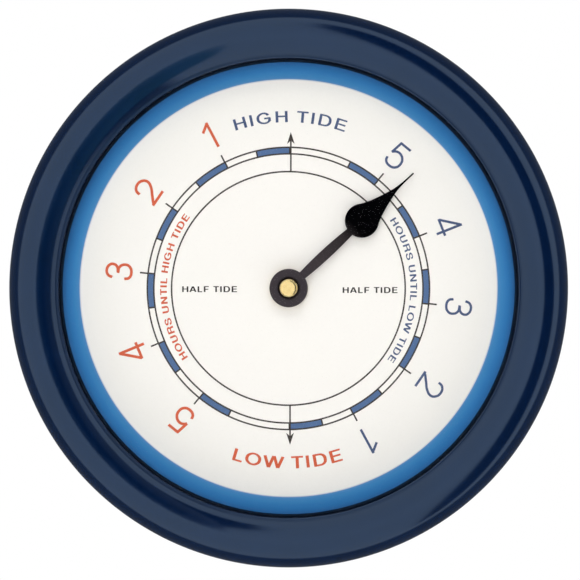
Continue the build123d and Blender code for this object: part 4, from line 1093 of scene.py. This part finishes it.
# Pale matt floor a quarter of a metre under the clock, which takes the clock's shadow. In
# gloss the white surround shows in its place.
floor_paint, tree = blank_material("pale_matt_floor")
where = add_node(tree, "ShaderNodeTexCoord").outputs["Object"]
plaster = add_node(
    tree, "ShaderNodeTexNoise", {"Vector": where, "Scale": 1 / (40 * mm), "Detail": 3}
)
floor_tone = add_node(tree, "ShaderNodeValToRGB", {"Fac": plaster.outputs["Fac"]})
floor_tone.color_ramp.elements[0].color = linear("#f0f0ee")
floor_tone.color_ramp.elements[1].color = linear("#f6f6f4")
floor_shader = add_node(
    tree, "ShaderNodeBsdfPrincipled",
    {"Base Color": floor_tone.outputs["Color"], "Roughness": 0.9, "Specular IOR Level": 0.1},
)
add_node(tree, "ShaderNodeOutputMaterial", {"Surface": floor_shader.outputs["BSDF"]})
floor = bmesh.new()
floor_level = -0.434
bmesh.ops.create_grid(
    floor, x_segments=1, y_segments=1, size=2.0,
    matrix=Matrix.Translation((0, -1.4, floor_level)),
)
floor_mesh = bpy.data.meshes.new("floor")
floor.to_mesh(floor_mesh)
floor_mesh.materials.append(floor_paint)
floor_object = bpy.data.objects.new("floor", floor_mesh)
scene.collection.objects.link(floor_object)
floor_object.visible_glossy = False


def hang_card(card, name):
    """A card whose front only reflections see, in the shades of its corners."""
    card_material, tree = blank_material(name)
    shade = add_node(tree, "ShaderNodeAttribute", attribute_name="shade")
    glow = add_node(tree, "ShaderNodeEmission", {"Color": shade.outputs["Color"], "Strength": 1.0})
    clear = add_node(tree, "ShaderNodeBsdfTransparent")
    side = add_node(tree, "ShaderNodeNewGeometry")
    front = add_node(
        tree, "ShaderNodeMixShader",
        {0: side.outputs["Backfacing"], 1: glow.outputs["Emission"], 2: clear.outputs["BSDF"]},
    )
    add_node(tree, "ShaderNodeOutputMaterial", {"Surface": front.outputs["Shader"]})
    mesh = bpy.data.meshes.new(name)
    card.to_mesh(mesh)
    card.free()
    mesh.materials.append(card_material)
    card_object = bpy.data.objects.new(name, mesh)
    scene.collection.objects.link(card_object)
    for ray_kind in ("camera", "diffuse", "transmission", "volume_scatter", "shadow"):
        setattr(card_object, "visible_" + ray_kind, False)


# Each card goes up in rows, and along a row away from the wall: across, out from the wall,
# up from the clock's middle, and shade. It faces left.
dark_flag = (
    ((0.321, 0.24, -0.60, "#606060"), (0.60, 1.6, -0.50, "#707070")),
    ((0.321, 0.20, -0.32, "#3c3c3c"), (0.62, 2.6, -0.32, "#202020")),
    ((0.321, 0.202, 0, "#2c2c2c"), (0.66, 3.0, 0, "#050505")),
    ((0.321, 0.34, 0.32, "#2c2c2c"), (0.44, 3.0, 0.50, "#050505")),
    ((0.321, 0.56, 0.90, "#2c2c2c"), (0.36, 3.0, 1.60, "#101010")),
    ((0.250, 1.20, 2.00, "#3c3c3c"), (0.30, 3.0, 2.60, "#202020")),
)
inner_across, inner_outs = -0.02, (0.066, 0.15, 2.5)
inner_shades = (
    (-75, ("#b0b0b0", "#b0b0b0", "#b0b0b0")), (-50, ("#8a8a8a", "#101010", "#060606")),
    (-20, ("#8a8a8a", "#0a0a0a", "#060606")), (0, ("#5a5a5a", "#0a0a0a", "#060606")),
    (12, ("#5c8790", "#3a5f6c", "#2c4650")), (30, ("#679ba6", "#679ba6", "#679ba6")),
    (60, ("#7fb0bc", "#7fb0bc", "#7fb0bc")), (75, ("#d0e0e8", "#d0e0e8", "#d0e0e8")),
)
inner_flag = [
    [(inner_across, out, up * mm, code) for out, code in zip(inner_outs, codes)]
    for up, codes in inner_shades
]
for name, rows in (("dark_flag", dark_flag), ("inner_flag", inner_flag)):
    card = bmesh.new()
    shade = card.verts.layers.float_color.new("shade")
    grid = []
    for row in rows:
        grid.append([])
        for across, out, up, code in row:
            corner = card.verts.new((across, -out, clock_centre.z + up))
            corner[shade] = linear(code)
            grid[-1].append(corner)
    for low, high in zip(grid, grid[1:]):
        for near in range(len(low) - 1):
            card.faces.new((low[near], low[near + 1], high[near + 1], high[near]))
    hang_card(card, name)

# Grey wall behind the clock, and a dish of the same grey that stands out from it further off.
wall_steps = 96
for name, inner, outer in (
    ("grey_wall", (105, -1), (2000, -1)),
    ("grey_wall_dish", (130, 30), (2000, 380)),
):
    below = [(radius, depth - 1) for radius, depth in (outer, inner)]
    wall = turn_outline(draw_outline(inner, [outer, *below, inner]), wall_steps)
    shade = wall.verts.layers.float_color.new("shade")
    for corner in wall.verts:
        corner[shade] = linear("#666a6e")
    hang_card(wall, name)

scene.view_settings.view_transform = "Standard"
